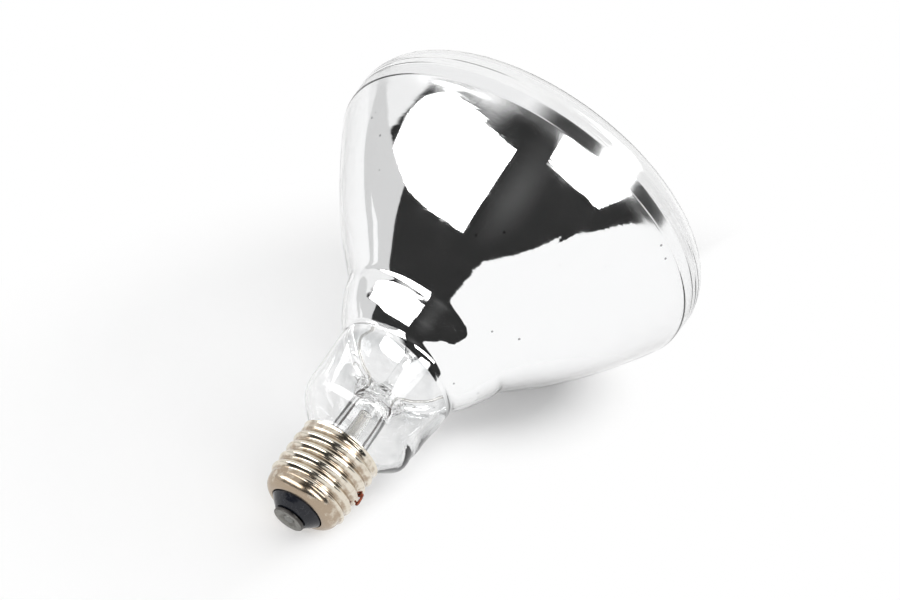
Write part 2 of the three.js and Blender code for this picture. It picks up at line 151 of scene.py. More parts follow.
def size(name, description, millimetres):
    """A length that the panel shows."""
    return FloatProperty(
        name=name, description=description, default=millimetres * MM, min=0.0, unit="LENGTH", precision=5
    )


def colour(name, description, value):
    """A colour that the panel shows."""
    return FloatVectorProperty(
        name=name, description=description, default=value, size=3, min=0.0, max=1.0, subtype="COLOR"
    )


def amount(name, description, value, highest=1.0):
    """A plain number that the panel shows."""
    return FloatProperty(name=name, description=description, default=value, min=0.0, max=highest)


class BULB_PG_glass(bpy.types.PropertyGroup):
    """Sizes of the blown glass bulb."""

    wall: size("Wall", "Thickness of the glass", 1.0)
    bulb_width: size("Bulb width", "Width across the front of the bulb", 125.0)
    neck_width: size("Neck width", "Width of the clear neck", 39.5)
    waist_width: size("Waist width", "Width of the neck's waist, below the bead", 39.9)
    aside: size("Neck aside", "How far the blown bead stands aside of the bowl's axis", 2.07)
    flat_side: size("Flat side", "How far the neck is drawn in at its lower side", 1.2)
    thick_side: size("Thick side", "Extra thickness of the neck's wall at its thickest side", 1.0)
    crease: size("Crease", "Roundness of the crease between the bead and the bowl", 0.255)
    shoulder_radius: size("Edge radius", "Radius of the edge of the face", 8.0)
    face_radius: size("Face radius", "Radius of the domed face", 105.0)
    ripple: size("Ripple", "Depth of the fine rings beyond the mirror's edge", 0.09)
    waviness: size("Waviness", "Unevenness of the blown wall", 0.03)


class BULB_PG_mirror(bpy.types.PropertyGroup):
    """Sizes of the mirror film inside the glass."""

    foot: size("Foot", "Height at which the film starts", 56.6)
    sag: size("Sag", "How far the film's lower edge sags on one side", 2.6)
    skirt: size("Skirt", "Height of the film above the bowl's rim", 4.5)
    gap: size("Gap", "Gap between the glass and the film", 0.05)
    thickness: size("Thickness", "Thickness of the film", 0.1)


class BULB_PG_cap(bpy.types.PropertyGroup):
    """Sizes of the screw cap."""

    crest_width: size("Crest width", "Width over the thread's crests", 26.2)
    root_width: size("Root width", "Width in the thread's grooves", 24.1)
    collar_width: size("Collar width", "Width above the thread", 25.0)
    lip_width: size("Lip width", "Width over the flared lip", 25.8)
    pitch: size("Pitch", "Distance between two crests", 3.629)
    sheet: size("Sheet", "Thickness of the metal", 0.3)
    contact_width: size("Contact width", "Width of the centre contact", 9.9)


class BULB_PG_stem(bpy.types.PropertyGroup):
    """Sizes of the glass stem and its wires."""

    tube_width: size("Tube width", "Width of the stem tube", 12.8)
    foot_width: size("Foot width", "Width of the stem's flared foot", 20.6)
    wall: size("Wall", "Thickness of the stem tube", 0.6)
    press_thickness: size("Press thickness", "Thickness of the pinched top", 4.6)
    press_width: size("Press width", "Width of the pinched top", 15.6)
    exhaust_width: size("Exhaust width", "Width of the exhaust tube", 4.4)
    lead_spacing: size("Lead spacing", "Distance between the two wires", 9.6)
    lead_width: size("Lead width", "Width of the lead wires", 0.8)
    side_wire_width: size("Side wire width", "Width of the wire that is soldered to the cap", 0.75)


class BULB_PG_filament(bpy.types.PropertyGroup):
    """Sizes of the filament and the wires that carry it."""

    ring_width: size("Ring width", "Width of the filament's open ring", 38.0)
    coil_width: size("Coil width", "Width of the coil", 1.2)
    wire_width: size("Wire width", "Width of the coiled wire", 0.2)
    turns: IntProperty(name="Turns", description="Turns of the coil", default=230, min=10)
    lead_width: size("Lead width", "Width of the two nickel leads", 0.9)
    support_width: size("Support width", "Width of the support wires", 0.5)


class BULB_PG_finishes(bpy.types.PropertyGroup):
    """Colours of the finishes."""

    glass: colour("Glass", "Tint of the clear glass", (0.995, 0.996, 0.996))
    # Painted shade: grey mixed into the neck's clear glass on its low side, standing in for the shadowed
    # floor seen through it
    painted_neck_shade: colour("Painted neck shade", "Tint of the glass at the neck's thick edge", (0.66, 0.67, 0.67))
    veil: colour("Veil", "Faint metal haze on the glass below the mirror's edge", (0.72, 0.73, 0.735))
    mirror: colour("Mirror", "Colour of the mirror film", (0.97, 0.972, 0.975))
    nickel: colour("Nickel", "Bright nickel of the cap", (0.82, 0.77, 0.68))
    tarnish: colour("Tarnish", "Brown tarnish on the nickel", (0.27, 0.17, 0.09))
    insulator: colour("Insulator", "Black glass of the insulator", (0.008, 0.009, 0.013))
    contact: colour("Contact", "Dull grey of the contact", (0.27, 0.265, 0.245))
    solder: colour("Solder", "Grey of the solder", (0.27, 0.27, 0.255))
    cement: colour("Cement", "Fired cement in the cap", (0.62, 0.55, 0.43))
    copper: colour("Copper", "Oxidised copper of the leads", (0.42, 0.11, 0.06))
    nickel_wire: colour("Nickel wire", "Grey of the nickel wires", (0.72, 0.71, 0.69))
    tungsten: colour("Tungsten", "Grey of the filament", (0.35, 0.34, 0.33))


class BULB_PG_stage(bpy.types.PropertyGroup):
    """Light and floor."""

    lamp: amount("Lamps", "Strength of the two soft lamps", 5.0, 20.0)
    ambient: amount("Ambient", "Strength of the plain light all round", 0.6, 5.0)
    floor: amount("Floor", "Brightness of the floor", 0.97)
    shade_reach: size("Shade reach", "Distance from the bulb at which the floor turns plain white", 100.0)
    floor_glow: amount("Floor glow", "Share of plain white in the floor's shadows", 0.13)


def deselect():
    """Leaves nothing selected, since operators act on all that is."""
    bpy.ops.object.select_all(action="DESELECT")


def start(name, place):
    """A single point at a place, selected in edit mode."""
    deselect()
    bpy.ops.mesh.primitive_plane_add(size=MM)
    piece = bpy.context.active_object
    piece.name = name
    piece.data.name = name
    bpy.ops.object.mode_set(mode="EDIT")
    bpy.ops.mesh.merge(type="CENTER")
    bpy.ops.transform.translate(value=place)
    return piece


def trace(places):
    """Extrudes the selected point from place to place."""
    for before, place in zip(places, places[1:]):
        bpy.ops.mesh.extrude_vertices_move(TRANSFORM_OT_translate={"value": place - before})


def turned(name, outline, sides, fit=1.0):
    """An outline of (height, radius) places, turned about the axis into a closed shape."""
    places = [Vector((radius * fit, 0, height)) * MM for height, radius in outline]
    piece = start(name, places[0])
    trace(places)
    bpy.ops.mesh.select_all(action="SELECT")
    bpy.ops.mesh.spin(
        steps=sides, angle=math.tau, center=(0, 0, 0), axis=(0, 0, 1), use_auto_merge=True
    )
    bpy.ops.mesh.select_all(action="SELECT")
    bpy.ops.mesh.remove_doubles(threshold=SEAM)
    bpy.ops.mesh.normals_make_consistent(inside=False)
    bpy.ops.object.mode_set(mode="OBJECT")
    return piece


def rounded(corners, arc_step=6.0):
    """Outline through corners of (height, radius, fillet), each fillet drawn as an arc."""
    line = []
    for index, (height, radius, fillet) in enumerate(corners):
        here = Vector((height, radius))
        if not fillet:
            line.append(here)
            continue
        back = (Vector(corners[index - 1][:2]) - here).normalized()
        onward = (Vector(corners[index + 1][:2]) - here).normalized()
        half = back.angle(onward) / 2
        middle = here + (back + onward).normalized() * (fillet / math.sin(half))
        first = here + back * (fillet / math.tan(half)) - middle
        last = here + onward * (fillet / math.tan(half)) - middle
        turn = math.atan2(first.x * last.y - first.y * last.x, first.dot(last))
        steps = max(2, math.ceil(abs(math.degrees(turn)) / arc_step))
        for step in range(steps + 1):
            share = Matrix.Rotation(turn * step / steps, 2)
            line.append(middle + share @ first)
    return line


def inside(line, distance):
    """The same outline at a distance towards the axis, with its corners kept sharp."""
    moved = []
    for index, place in enumerate(line):
        ahead = line[min(index + 1, len(line) - 1)] - place
        behind = place - line[max(index - 1, 0)]
        ahead = ahead if ahead.length else behind
        behind = behind if behind.length else ahead
        normals = [Vector((step.y, -step.x)).normalized() for step in (behind, ahead)]
        middle = (normals[0] + normals[1]).normalized()
        moved.append(place + middle * (distance / max(0.4, middle.dot(normals[0]))))
    return moved


def blend(low, high, share):
    """A value at a share of the way from low to high."""
    return low + (high - low) * share


def smooth(value, low, high):
    """0 below low, 1 above high and a soft step between."""
    share = min(1.0, max(0.0, (value - low) / (high - low)))
    return share * share * (3 - 2 * share)


def polar(height, radius, turn):
    """A place in metres from its height, radius and turn in degrees."""
    angle = math.radians(turn)
    return Vector((radius * math.sin(angle), -radius * math.cos(angle), height)) * MM


def reshape(piece, rule):
    """Moves every point to the (height, radius) that the rule gives for its height, radius and turn."""
    for vertex in piece.data.vertices:
        flat = Vector(vertex.co[:2])
        radius = flat.length / MM
        if radius < 1e-3:
            continue
        turn = math.degrees(math.atan2(flat.x, -flat.y))
        height, moved = rule(vertex.co.z / MM, radius, turn)
        vertex.co.x *= moved / radius
        vertex.co.y *= moved / radius
        vertex.co.z = height * MM


def uneven(height, turn, grain, seed=0.0):
    """Smooth noise over a round surface, between about -1 and 1."""
    angle = math.radians(turn)
    return noise.noise(Vector((math.cos(angle) * 2 + seed, math.sin(angle) * 2, height / grain)))


def wire(name, places, width):
    """A round wire through places, as a mesh with closed ends."""
    deselect()
    bpy.ops.curve.primitive_bezier_curve_add()
    piece = bpy.context.active_object
    piece.name = name
    curve = piece.data
    points = curve.splines[0].bezier_points
    points.add(len(places) - len(points))
    for point, place in zip(points, places):
        point.co = place
        point.handle_left_type = "AUTO"
        point.handle_right_type = "AUTO"
    curve.resolution_u = 6
    return solid_wire(piece, width, 3)


def fine_wire(name, places, width):
    """A thin wire straight from place to place, with few sides."""
    deselect()
    bpy.ops.curve.primitive_bezier_curve_add()
    piece = bpy.context.active_object
    piece.name = name
    curve = piece.data
    curve.splines.clear()
    spline = curve.splines.new("POLY")
    spline.points.add(len(places) - 1)
    for point, place in zip(spline.points, places):
        point.co = (*place, 1)
    return solid_wire(piece, width, 1)


def solid_wire(piece, width, resolution):
    """Gives a curve its thickness and makes it a clean mesh."""
    piece.data.bevel_depth = width / 2
    piece.data.bevel_resolution = resolution
    piece.data.use_fill_caps = True
    bpy.ops.object.convert(target="MESH")
    piece = bpy.context.active_object
    bpy.ops.object.mode_set(mode="EDIT")
    bpy.ops.mesh.select_all(action="SELECT")
    bpy.ops.mesh.remove_doubles(threshold=SEAM)
    bpy.ops.mesh.normals_make_consistent(inside=False)
    bpy.ops.object.mode_set(mode="OBJECT")
    return piece


def apply_modifier(piece, kind, **settings):
    """Adds a modifier to a piece and applies it."""
    deselect()
    piece.select_set(True)
    bpy.context.view_layer.objects.active = piece
    modifier = piece.modifiers.new(kind.title(), kind)
    for key, value in settings.items():
        setattr(modifier, key, value)
    bpy.ops.object.modifier_apply(modifier=modifier.name)


def lay_down(piece, slot, material, *nodes):
    """Lays an upright piece on the floor with the bulb and hides the CAD nodes it stands for."""
    deselect()
    piece.select_set(True)
    bpy.context.view_layer.objects.active = piece
    bpy.ops.object.shade_smooth_by_angle(angle=SMOOTH_ANGLE)
    piece.matrix_world = LAY
    bpy.ops.object.transform_apply(location=True, rotation=True, scale=True)
    piece.data.materials.clear()
    piece.data.materials.append(material)
    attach(piece, "root")
    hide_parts(*nodes)


def feed(tree, socket, value):
    """Links a socket to the output of another node, or gives it a plain value."""
    if isinstance(value, bpy.types.NodeSocket):
        tree.links.new(value, socket)
    else:
        socket.default_value = value


def node(tree, kind, sockets=None, **settings):
    """A shader node with its settings, and its sockets given values or links."""
    made = tree.nodes.new(kind)
    for key, value in settings.items():
        setattr(made, key, value)
    for key, value in (sockets or {}).items():
        feed(tree, made.inputs[key], value)
    return made


def maths(tree, operation, *values):
    """The result of a Math node."""
    made = node(tree, "ShaderNodeMath", dict(enumerate(values)), operation=operation)
    return made.outputs[0]


def times(tree, first, second):
    return maths(tree, "MULTIPLY", first, second)


def plus(tree, first, second):
    return maths(tree, "ADD", first, second)


def scaled(tree, value, low, high, to_low=0.0, to_high=1.0):
    """A value taken softly from one range to another."""
    sockets = {"Value": value, "From Min": low, "From Max": high, "To Min": to_low, "To Max": to_high}
    made = node(tree, "ShaderNodeMapRange", sockets, interpolation_type="SMOOTHSTEP")
    return made.outputs["Result"]


def mixed(tree, share, first, second):
    """A colour between two colours."""
    sockets = {0: share}
    for socket, value in ((6, first), (7, second)):
        sockets[socket] = value if isinstance(value, bpy.types.NodeSocket) else (*value, 1.0)
    return node(tree, "ShaderNodeMix", sockets, data_type="RGBA").outputs[2]


def clouds(tree, place, grain, detail=3.0, roughness=0.55):
    """Noise over places in millimetres, with a grain in millimetres."""
    sockets = {"Vector": place, "Scale": 1.0 / grain, "Detail": detail, "Roughness": roughness}
    return node(tree, "ShaderNodeTexNoise", sockets).outputs["Fac"]


def stretched(tree, place, along, across):
    """Places squeezed for a pattern that runs round the axis: along and across are its grains."""
    made = node(tree, "ShaderNodeMapping", {"Vector": place, "Scale": (along, along, across)})
    return made.outputs["Vector"]


def effect(name, inputs, outputs):
    """An empty node group with its sockets, its inputs and its output node."""
    tree = bpy.data.node_groups.new(name, "ShaderNodeTree")
    for label, kind, value in inputs:
        socket = tree.interface.new_socket(label, in_out="INPUT", socket_type=kind)
        if value is not None:
            socket.default_value = value
    for label, kind in outputs:
        tree.interface.new_socket(label, in_out="OUTPUT", socket_type=kind)
    return tree, tree.nodes.new("NodeGroupInput").outputs, tree.nodes.new("NodeGroupOutput")


def bulb_axis_group():
    """Height and radius in millimetres, turn round the axis and upright place of a surface point."""
    outputs = [("Height", "NodeSocketFloat"), ("Radius", "NodeSocketFloat")]
    outputs += [("Turn", "NodeSocketFloat"), ("Place", "NodeSocketVector")]
    tree, _, result = effect("Bulb axis", [], outputs)
    where = node(tree, "ShaderNodeTexCoord").outputs["Object"]
    sockets = {"Vector": where, "Location": TIP, "Rotation": (0, TILT, 0)}
    upright = node(tree, "ShaderNodeMapping", sockets, vector_type="TEXTURE").outputs[0]
    place = node(tree, "ShaderNodeVectorMath", {0: upright, "Scale": 1 / MM}, operation="SCALE").outputs[0]
    parts = node(tree, "ShaderNodeSeparateXYZ", {0: place}).outputs
    squares = plus(tree, maths(tree, "POWER", parts[0], 2.0), maths(tree, "POWER", parts[1], 2.0))
    values = {
        "Height": parts[2],
        "Radius": maths(tree, "SQRT", squares),
        "Turn": maths(tree, "ARCTAN2", parts[0], parts[1]),
        "Place": place,
    }
    for key, value in values.items():
        tree.links.new(value, result.inputs[key])
    return tree


def patches_group():
    """Cloudy patches between 0 and 1, with an amount that spreads them."""
    inputs = [("Place", "NodeSocketVector", None), ("Grain", "NodeSocketFloat", 4.0)]
    inputs += [("Amount", "NodeSocketFloat", 0.5), ("Edge", "NodeSocketFloat", 0.1)]
    tree, given, result = effect("Patches", inputs, [("Mask", "NodeSocketFloat")])
    scale = maths(tree, "DIVIDE", 1.0, given["Grain"])
    sockets = {"Vector": given["Place"], "Scale": scale, "Detail": 6.0, "Roughness": 0.6}
    cloud = node(tree, "ShaderNodeTexNoise", sockets).outputs["Fac"]
    threshold = maths(tree, "SUBTRACT", 0.8, times(tree, given["Amount"], 0.6))
    low = maths(tree, "SUBTRACT", threshold, given["Edge"])
    high = plus(tree, threshold, given["Edge"])
    tree.links.new(scaled(tree, cloud, low, high), result.inputs["Mask"])
    return tree


def specks_group():
    """Small round specks between 0 and 1."""
    inputs = [("Place", "NodeSocketVector", None), ("Spacing", "NodeSocketFloat", 4.0)]
    inputs += [("Size", "NodeSocketFloat", 0.1)]
    tree, given, result = effect("Specks", inputs, [("Mask", "NodeSocketFloat")])
    scale = maths(tree, "DIVIDE", 1.0, given["Spacing"])
    cells = node(tree, "ShaderNodeTexVoronoi", {"Vector": given["Place"], "Scale": scale}).outputs
    kept = node(tree, "ShaderNodeSeparateColor", {0: cells["Color"]}).outputs[0]
    spot = times(tree, given["Size"], kept)
    mask = maths(tree, "LESS_THAN", cells["Distance"], spot)
    tree.links.new(mask, result.inputs["Mask"])
    return tree


class Finish:
    """A material with the bulb's axis, its Principled shader and helpers for its pattern."""

    def __init__(self, name):
        self.material = bpy.data.materials.new(name)
        self.material.use_nodes = True
        self.tree = self.material.node_tree
        self.shader = self.tree.nodes["Principled BSDF"]
        axis = self.group("Bulb axis")
        self.height = axis["Height"]
        self.radius = axis["Radius"]
        self.turn = axis["Turn"]
        self.place = axis["Place"]

    def group(self, name, **sockets):
        """The outputs of a shared effect that is given these inputs."""
        group = bpy.data.node_groups[name]
        return node(self.tree, "ShaderNodeGroup", sockets, node_tree=group).outputs

    def set(self, **sockets):
        """Sets inputs of the Principled shader."""
        for key, value in sockets.items():
            feed(self.tree, self.shader.inputs[key.replace("_", " ")], value)

    def bump(self, height, distance, strength=1.0):
        """Gives the surface relief up to a distance in millimetres."""
        sockets = {"Height": height, "Distance": distance * MM, "Strength": strength}
        self.set(Normal=node(self.tree, "ShaderNodeBump", sockets).outputs["Normal"])


def finishes():
    """The colours that the panel shows."""
    return bpy.context.scene.bulb_finishes


def clear_glass():
    made = Finish("clear glass")
    tree = made.tree
    film = bpy.context.scene.bulb_mirror.foot / MM
    near_film = scaled(tree, made.height, film - 9.6, film - 0.6)
    edge = times(tree, near_film, scaled(tree, made.height, film + 1.0, film + 0.2))
    veil = times(tree, edge, scaled(tree, clouds(tree, made.place, 8.0, 2.0), 0.35, 0.6))
    clear = mixed(tree, veil, finishes().glass, finishes().veil)
    # Painted shade: the neck's low side turns grey where the glass is seen edge-on, standing in for the
    # shadowed floor seen through the thick wall
    facing = node(tree, "ShaderNodeLayerWeight", {"Blend": 0.5}).outputs["Facing"]
    from_low = maths(tree, "SUBTRACT", made.turn, math.radians(180 - LOW_TURN))
    low_side = maths(tree, "COSINE", from_low)
    shade = times(tree, scaled(tree, facing, 0.45, 0.62), scaled(tree, low_side, 0.3, 0.8))
    shade = times(tree, shade, scaled(tree, made.height, 27.0, 33.0))
    shade = times(tree, shade, scaled(tree, made.height, 58.0, 54.0))
    made.set(Base_Color=mixed(tree, shade, clear, finishes().painted_neck_shade))
    made.set(Transmission_Weight=1.0, IOR=1.5, Roughness=0.0)
    made.bump(clouds(tree, made.place, 9.0, 2.0), 0.05, 0.5)
    return made.material


def stem_glass():
    made = Finish("stem glass")
    tree = made.tree
    streaks = scaled(tree, clouds(tree, stretched(tree, made.place, 1.0, 0.05), 0.8, 2.0), 0.4, 0.6)
    tube = times(tree, scaled(tree, made.radius, 2.5, 2.2), scaled(tree, made.height, 44.0, 40.0))
    tone = mixed(tree, streaks, (0.985, 0.98, 0.965), (0.95, 0.92, 0.86))
    made.set(Base_Color=mixed(tree, tube, finishes().glass, tone))
    made.set(Transmission_Weight=1.0, IOR=1.5, Roughness=times(tree, tube, 0.25))
    bubbles = made.group("Specks", Place=made.place, Spacing=1.1, Size=0.55)["Mask"]
    press = scaled(tree, made.height, PRESS_START, PRESS_FLAT)
    waves = clouds(tree, made.place, 1.6, 3.0)
    rough = times(tree, plus(tree, waves, bubbles), press)
    made.bump(rough, 0.12, 0.6)
    return made.material


def mirror_film():
    made = Finish("mirror film")
    specks = made.group("Specks", Place=made.place, Spacing=5.0, Size=0.09)["Mask"]
    dull = mixed(made.tree, specks, finishes().mirror, (0.35, 0.35, 0.36))
    made.set(Base_Color=dull, Metallic=1.0)
    haze = clouds(made.tree, made.place, 6.0, 4.0)
    worn = scaled(made.tree, made.height, BOWL_TOP - 5, BOWL_TOP + 1, 0.0, 0.12)
    haze = scaled(made.tree, haze, 0.3, 0.8, 0.015, 0.05)
    made.set(Roughness=plus(made.tree, haze, worn))
    along = stretched(made.tree, made.place, 0.25, 1.0)
    made.bump(clouds(made.tree, along, 5.0, 3.0), 0.06, 0.5)
    return made.material


def nickel_plate():
    made = Finish("nickel plate")
    tree = made.tree
    colours = finishes()
    groove = times(tree, scaled(tree, made.radius, 12.7, 12.1), 0.45)
    foot = times(tree, scaled(tree, made.height, 8.5, 4.6), 0.12)
    mouth = scaled(tree, made.height, MOUTH_HEIGHT + 0.9, MOUTH_HEIGHT + 0.1, 0.0, 0.4)
    spread = plus(tree, plus(tree, groove, foot), plus(tree, mouth, 0.2))
    stain = made.group("Patches", Place=made.place, Grain=2.4, Amount=spread, Edge=0.2)["Mask"]
    warm = mixed(tree, clouds(tree, made.place, 7.0, 3.0), colours.nickel, (0.72, 0.65, 0.53))
    stained = mixed(tree, times(tree, stain, 0.68), warm, colours.tarnish)
    rolled = clouds(tree, stretched(tree, made.place, 0.05, 1.0), 0.22, 3.0)
    fine = scaled(tree, rolled, 0.3, 0.7, 0.1, 0.17)
    made.set(Base_Color=stained, Metallic=1.0)
    made.set(Roughness=plus(tree, fine, times(tree, stain, 0.08)))
    made.bump(plus(tree, rolled, clouds(tree, made.place, 2.2, 2.0)), 0.02, 0.5)
    return made.material


def black_glass():
    made = Finish("black glass")
    dust = made.group("Patches", Place=made.place, Grain=1.2, Amount=0.35, Edge=0.1)["Mask"]
    dusted = times(made.tree, dust, 0.12)
    made.set(Base_Color=mixed(made.tree, dusted, finishes().insulator, (0.1, 0.1, 0.11)))
    made.set(IOR=1.4, Roughness=scaled(made.tree, dust, 0.0, 1.0, 0.12, 0.35))
    made.bump(clouds(made.tree, made.place, 1.5, 3.0), 0.05, 0.6)
    return made.material


def contact_metal():
    made = Finish("contact metal")
    tree = made.tree
    rim = scaled(tree, made.radius, 4.2, 4.9)
    wear = made.group("Patches", Place=made.place, Grain=1.6, Amount=0.5, Edge=0.15)["Mask"]
    dark = maths(tree, "MAXIMUM", rim, times(tree, wear, 0.5))
    made.set(Base_Color=mixed(tree, dark, finishes().contact, (0.09, 0.085, 0.08)), Metallic=1.0)
    scratches = clouds(tree, made.place, 0.3, 5.0, 0.7)
    made.set(Roughness=scaled(tree, scratches, 0.3, 0.7, 0.3, 0.5))
    made.bump(scratches, 0.03, 0.6)
    return made.material


def plain_metal(name, base, shade, grain, roughness):
    """Dull metal with a darker cloud and fine grain."""
    made = Finish(name)
    cloud = clouds(made.tree, made.place, grain, 4.0)
    made.set(Base_Color=mixed(made.tree, cloud, base, shade), Metallic=1.0)
    made.set(Roughness=scaled(made.tree, cloud, 0.3, 0.7, roughness - 0.08, roughness + 0.08))
    made.bump(clouds(made.tree, made.place, grain / 3, 3.0), 0.01, 0.6)
    return made.material


def oxidised_copper():
    """Red-brown outside the cap and nearly black inside the glass."""
    made = Finish("oxidised copper")
    tree = made.tree
    cloud = clouds(tree, made.place, 1.5, 4.0)
    heated = scaled(tree, made.height, 20.0, 26.0)
    bare = mixed(tree, cloud, finishes().copper, (0.1, 0.04, 0.03))
    dark = mixed(tree, cloud, (0.1, 0.06, 0.052), (0.04, 0.027, 0.026))
    made.set(Base_Color=mixed(tree, heated, bare, dark), Roughness=0.4)
    made.set(Metallic=maths(tree, "SUBTRACT", 1.0, times(tree, heated, 0.8)))
    made.bump(clouds(tree, made.place, 0.5, 3.0), 0.01, 0.6)
    return made.material


def fired_cement():
    made = Finish("fired cement")
    cloud = clouds(made.tree, made.place, 1.2, 5.0)
    made.set(Base_Color=mixed(made.tree, cloud, finishes().cement, (0.4, 0.34, 0.26)), Roughness=0.85)
    made.bump(clouds(made.tree, made.place, 0.4, 4.0), 0.1, 0.7)
    return made.material


def bowl_radius(height):
    """Radius of the parabolic bowl, which runs on straight as a cone below its foot."""
    if height > CONE_TOP:
        return 2 * math.sqrt(BOWL_FOCAL_LENGTH * (height - BOWL_VERTEX))
    slope = math.sqrt(BOWL_FOCAL_LENGTH / (CONE_TOP - BOWL_VERTEX))
    return 2 * math.sqrt(BOWL_FOCAL_LENGTH * (CONE_TOP - BOWL_VERTEX)) - slope * (CONE_TOP - height)


def bead_rows(waist):
    """Heights and radii of the bead, from the waist to above the crease."""
    rise = 0.0
    radius = waist
    rows = [(WAIST_HEIGHT, radius)]
    while WAIST_HEIGHT + rise < CONE_TOP - BEAD_STEP:
        low, high = next((a, b) for a, b in zip(BEAD_SLOPES, BEAD_SLOPES[1:]) if rise < b[0])
        middle = rise + BEAD_STEP / 2
        radius += BEAD_STEP * blend(low[1], high[1], smooth(middle, low[0], high[0]))
        rise += BEAD_STEP
        rows.append((WAIST_HEIGHT + rise, radius))
    return rows


def joined(bead, bowl, roundness):
    """The wider of two radii, with a rounded step from one to the other."""
    apart = (bead - bowl) / roundness
    return bowl + roundness * math.log1p(math.exp(apart)) if apart < 30 else bead


def flat_side(glass, height, turn):
    """How far the neck's side is drawn in at a height and turn, above a fuller shoulder."""
    shoulder = 0.9 * smooth(height, 27, 31.5) * (1 - smooth(height, 31.5, 38))
    window = smooth(height, 33, 38) * (1 - smooth(height, 42, 54)) - shoulder
    share = max(0.0, math.cos(math.radians(turn - LOW_TURN)))
    return glass.flat_side / MM * window * share


def neck_line(glass, turn):
    """Outer line of the neck at one turn, from its foot to just below the waist."""
    waist = glass.waist_width / 2 / MM
    corners = [
        (NECK_FOOT, NECK_FOOT_RADIUS, 0),
        (NECK_FLARE, NECK_FOOT_RADIUS, 4),
        (SHOULDER_START, SHOULDER_START_RADIUS, 3),
        (SHOULDER_END, glass.neck_width / 2 / MM, SHOULDER_ROUNDNESS),
        (WAIST_HEIGHT, waist, 0),
    ]
    line = rounded(corners)[:-1]
    shoulder_top = line[-1]
    rows = 16
    for row in range(1, rows):
        height, radius = shoulder_top.lerp(Vector((WAIST_HEIGHT, waist)), row / rows)
        line.append(Vector((height, radius + aside(glass, turn) * smooth(row / rows, 0, 1))))
    for place in line:
        place.y -= flat_side(glass, place.x, turn)
    return line


def aside(glass, turn):
    """How far the bead stands out to one turn, because it is aside of the bowl's axis."""
    return glass.aside / MM * math.cos(math.radians(turn - ASIDE_TURN))


def rim_line(start, bulb):
    """Outer line of the bowl's rim and the skirt above it."""
    rim = BOWL_TOP + SKIRT_LENGTH
    corners = [(start, bowl_radius(start), 0), (BOWL_TOP, BOWL_RIM_RADIUS, RIM_ROUNDNESS), (rim, bulb, 0)]
    line = rounded(corners)[:-1]
    skirt = line[-1]
    rows = 36
    for row in range(1, rows):
        line.append(skirt.lerp(Vector((rim, bulb)), row / rows))
    return line


def face_line(glass, rim, bulb):
    """Outer line of the rounded edge and the domed face, to the middle of the face."""
    edge = glass.shoulder_radius / MM
    dome = glass.face_radius / MM
    reach = bulb - edge
    centre = rim - math.sqrt((dome - edge) ** 2 - reach ** 2)
    meeting = math.atan2(rim - centre, reach)
    line = []
    edge_rows = 40
    for row in range(edge_rows):
        angle = meeting * (row / edge_rows) ** 1.3
        line.append(Vector((rim + FACE_FIT * edge * math.sin(angle), reach + edge * math.cos(angle))))
    face_rows = 24
    for row in range(face_rows + 1):
        angle = blend(meeting, math.pi / 2, row / face_rows)
        rise = centre + dome * math.sin(angle) - rim
        line.append(Vector((rim + FACE_FIT * rise, dome * math.cos(angle))))
    line[-1].y = 0
    return line


def bulb_line(glass, turn):
    """Outer line of the bulb at one turn, from the neck's foot to the middle of the face."""
    line = neck_line(glass, turn)
    for height, radius in bead_rows(glass.waist_width / 2 / MM):
        bead = radius + aside(glass, turn)
        line.append(Vector((height, joined(bead, bowl_radius(height), glass.crease / MM))))
    bowl_end = BOWL_TOP - RIM_ROUNDNESS
    rows = 36
    for row in range(1, rows):
        height = blend(CONE_TOP, bowl_end, row / rows)
        line.append(Vector((height, bowl_radius(height))))
    bulb = glass.bulb_width / 2 / MM
    line += rim_line(bowl_end, bulb)
    return line + face_line(glass, BOWL_TOP + SKIRT_LENGTH, bulb)


def thick_side(glass, height, turn):
    """How much thicker the neck's wall is at a height and turn, because it was blown unevenly."""
    window = smooth(height, 27, 38) * (1 - smooth(height, 52, 58))
    share = max(0.0, math.cos(math.radians(turn - LOW_TURN)))
    return glass.thick_side / MM * window * share


def blown(name, outline):
    """A turned glass shape whose points then move to the outline at their own turn."""
    start_line = outline(0.0)
    piece = turned(name, start_line, ROUND_SIDES, GLASS_FIT)
    places = KDTree(len(start_line))
    for index, (height, radius) in enumerate(start_line):
        places.insert((height, radius * GLASS_FIT, 0), index)
    places.balance()
    lines = {}

    def rule(height, radius, turn):
        step = round(turn * ROUND_SIDES / 360)
        if step not in lines:
            lines[step] = outline(360 * step / ROUND_SIDES)
        index = places.find((height, radius, 0))[1]
        return lines[step][index].x, lines[step][index].y * GLASS_FIT

    reshape(piece, rule)
    return piece


class BULB_OT_glass(bpy.types.Operator):
    """Blown glass bulb: neck, bead, crease, bowl, edge and domed face, with its two walls"""

    bl_idname = "bulb.glass"
    bl_label = "Glass bulb"

    def execute(self, context):
        glass = context.scene.bulb_glass
        wall = glass.wall / MM

        def outline(turn):
            outer = bulb_line(glass, turn)
            inner = inside(outer, wall)
            inner[-1].y = 0
            for place in inner:
                place.y -= thick_side(glass, place.x, turn)
            return [*reversed(inner), *outer]

        piece = blown("blown_bulb", outline)
        bulb = glass.bulb_width / 2 / MM
        ripple = glass.ripple / MM
        waviness = glass.waviness / MM
        band = BOWL_TOP + context.scene.bulb_mirror.skirt / MM

        def unevenly(height, radius, turn):
            moved = radius
            if height < BOWL_TOP:
                moved -= waviness * (1 + uneven(height, turn, 9.0)) * smooth(height, 24, 40)
            elif radius < bulb * GLASS_FIT - 0.5 * wall and height < band + 6:
                window = smooth(height, band - 0.3, band + 0.3) * (1 - smooth(height, band + 3, band + 5))
                moved += ripple * window * (uneven(height, turn, 0.45, 7.0) - 0.6)
            return height, moved

        reshape(piece, unevenly)
        lay_down(piece, "clear_glass", clear_glass(), "glass_bulb")
        piece.visible_shadow = False
        return {"FINISHED"}


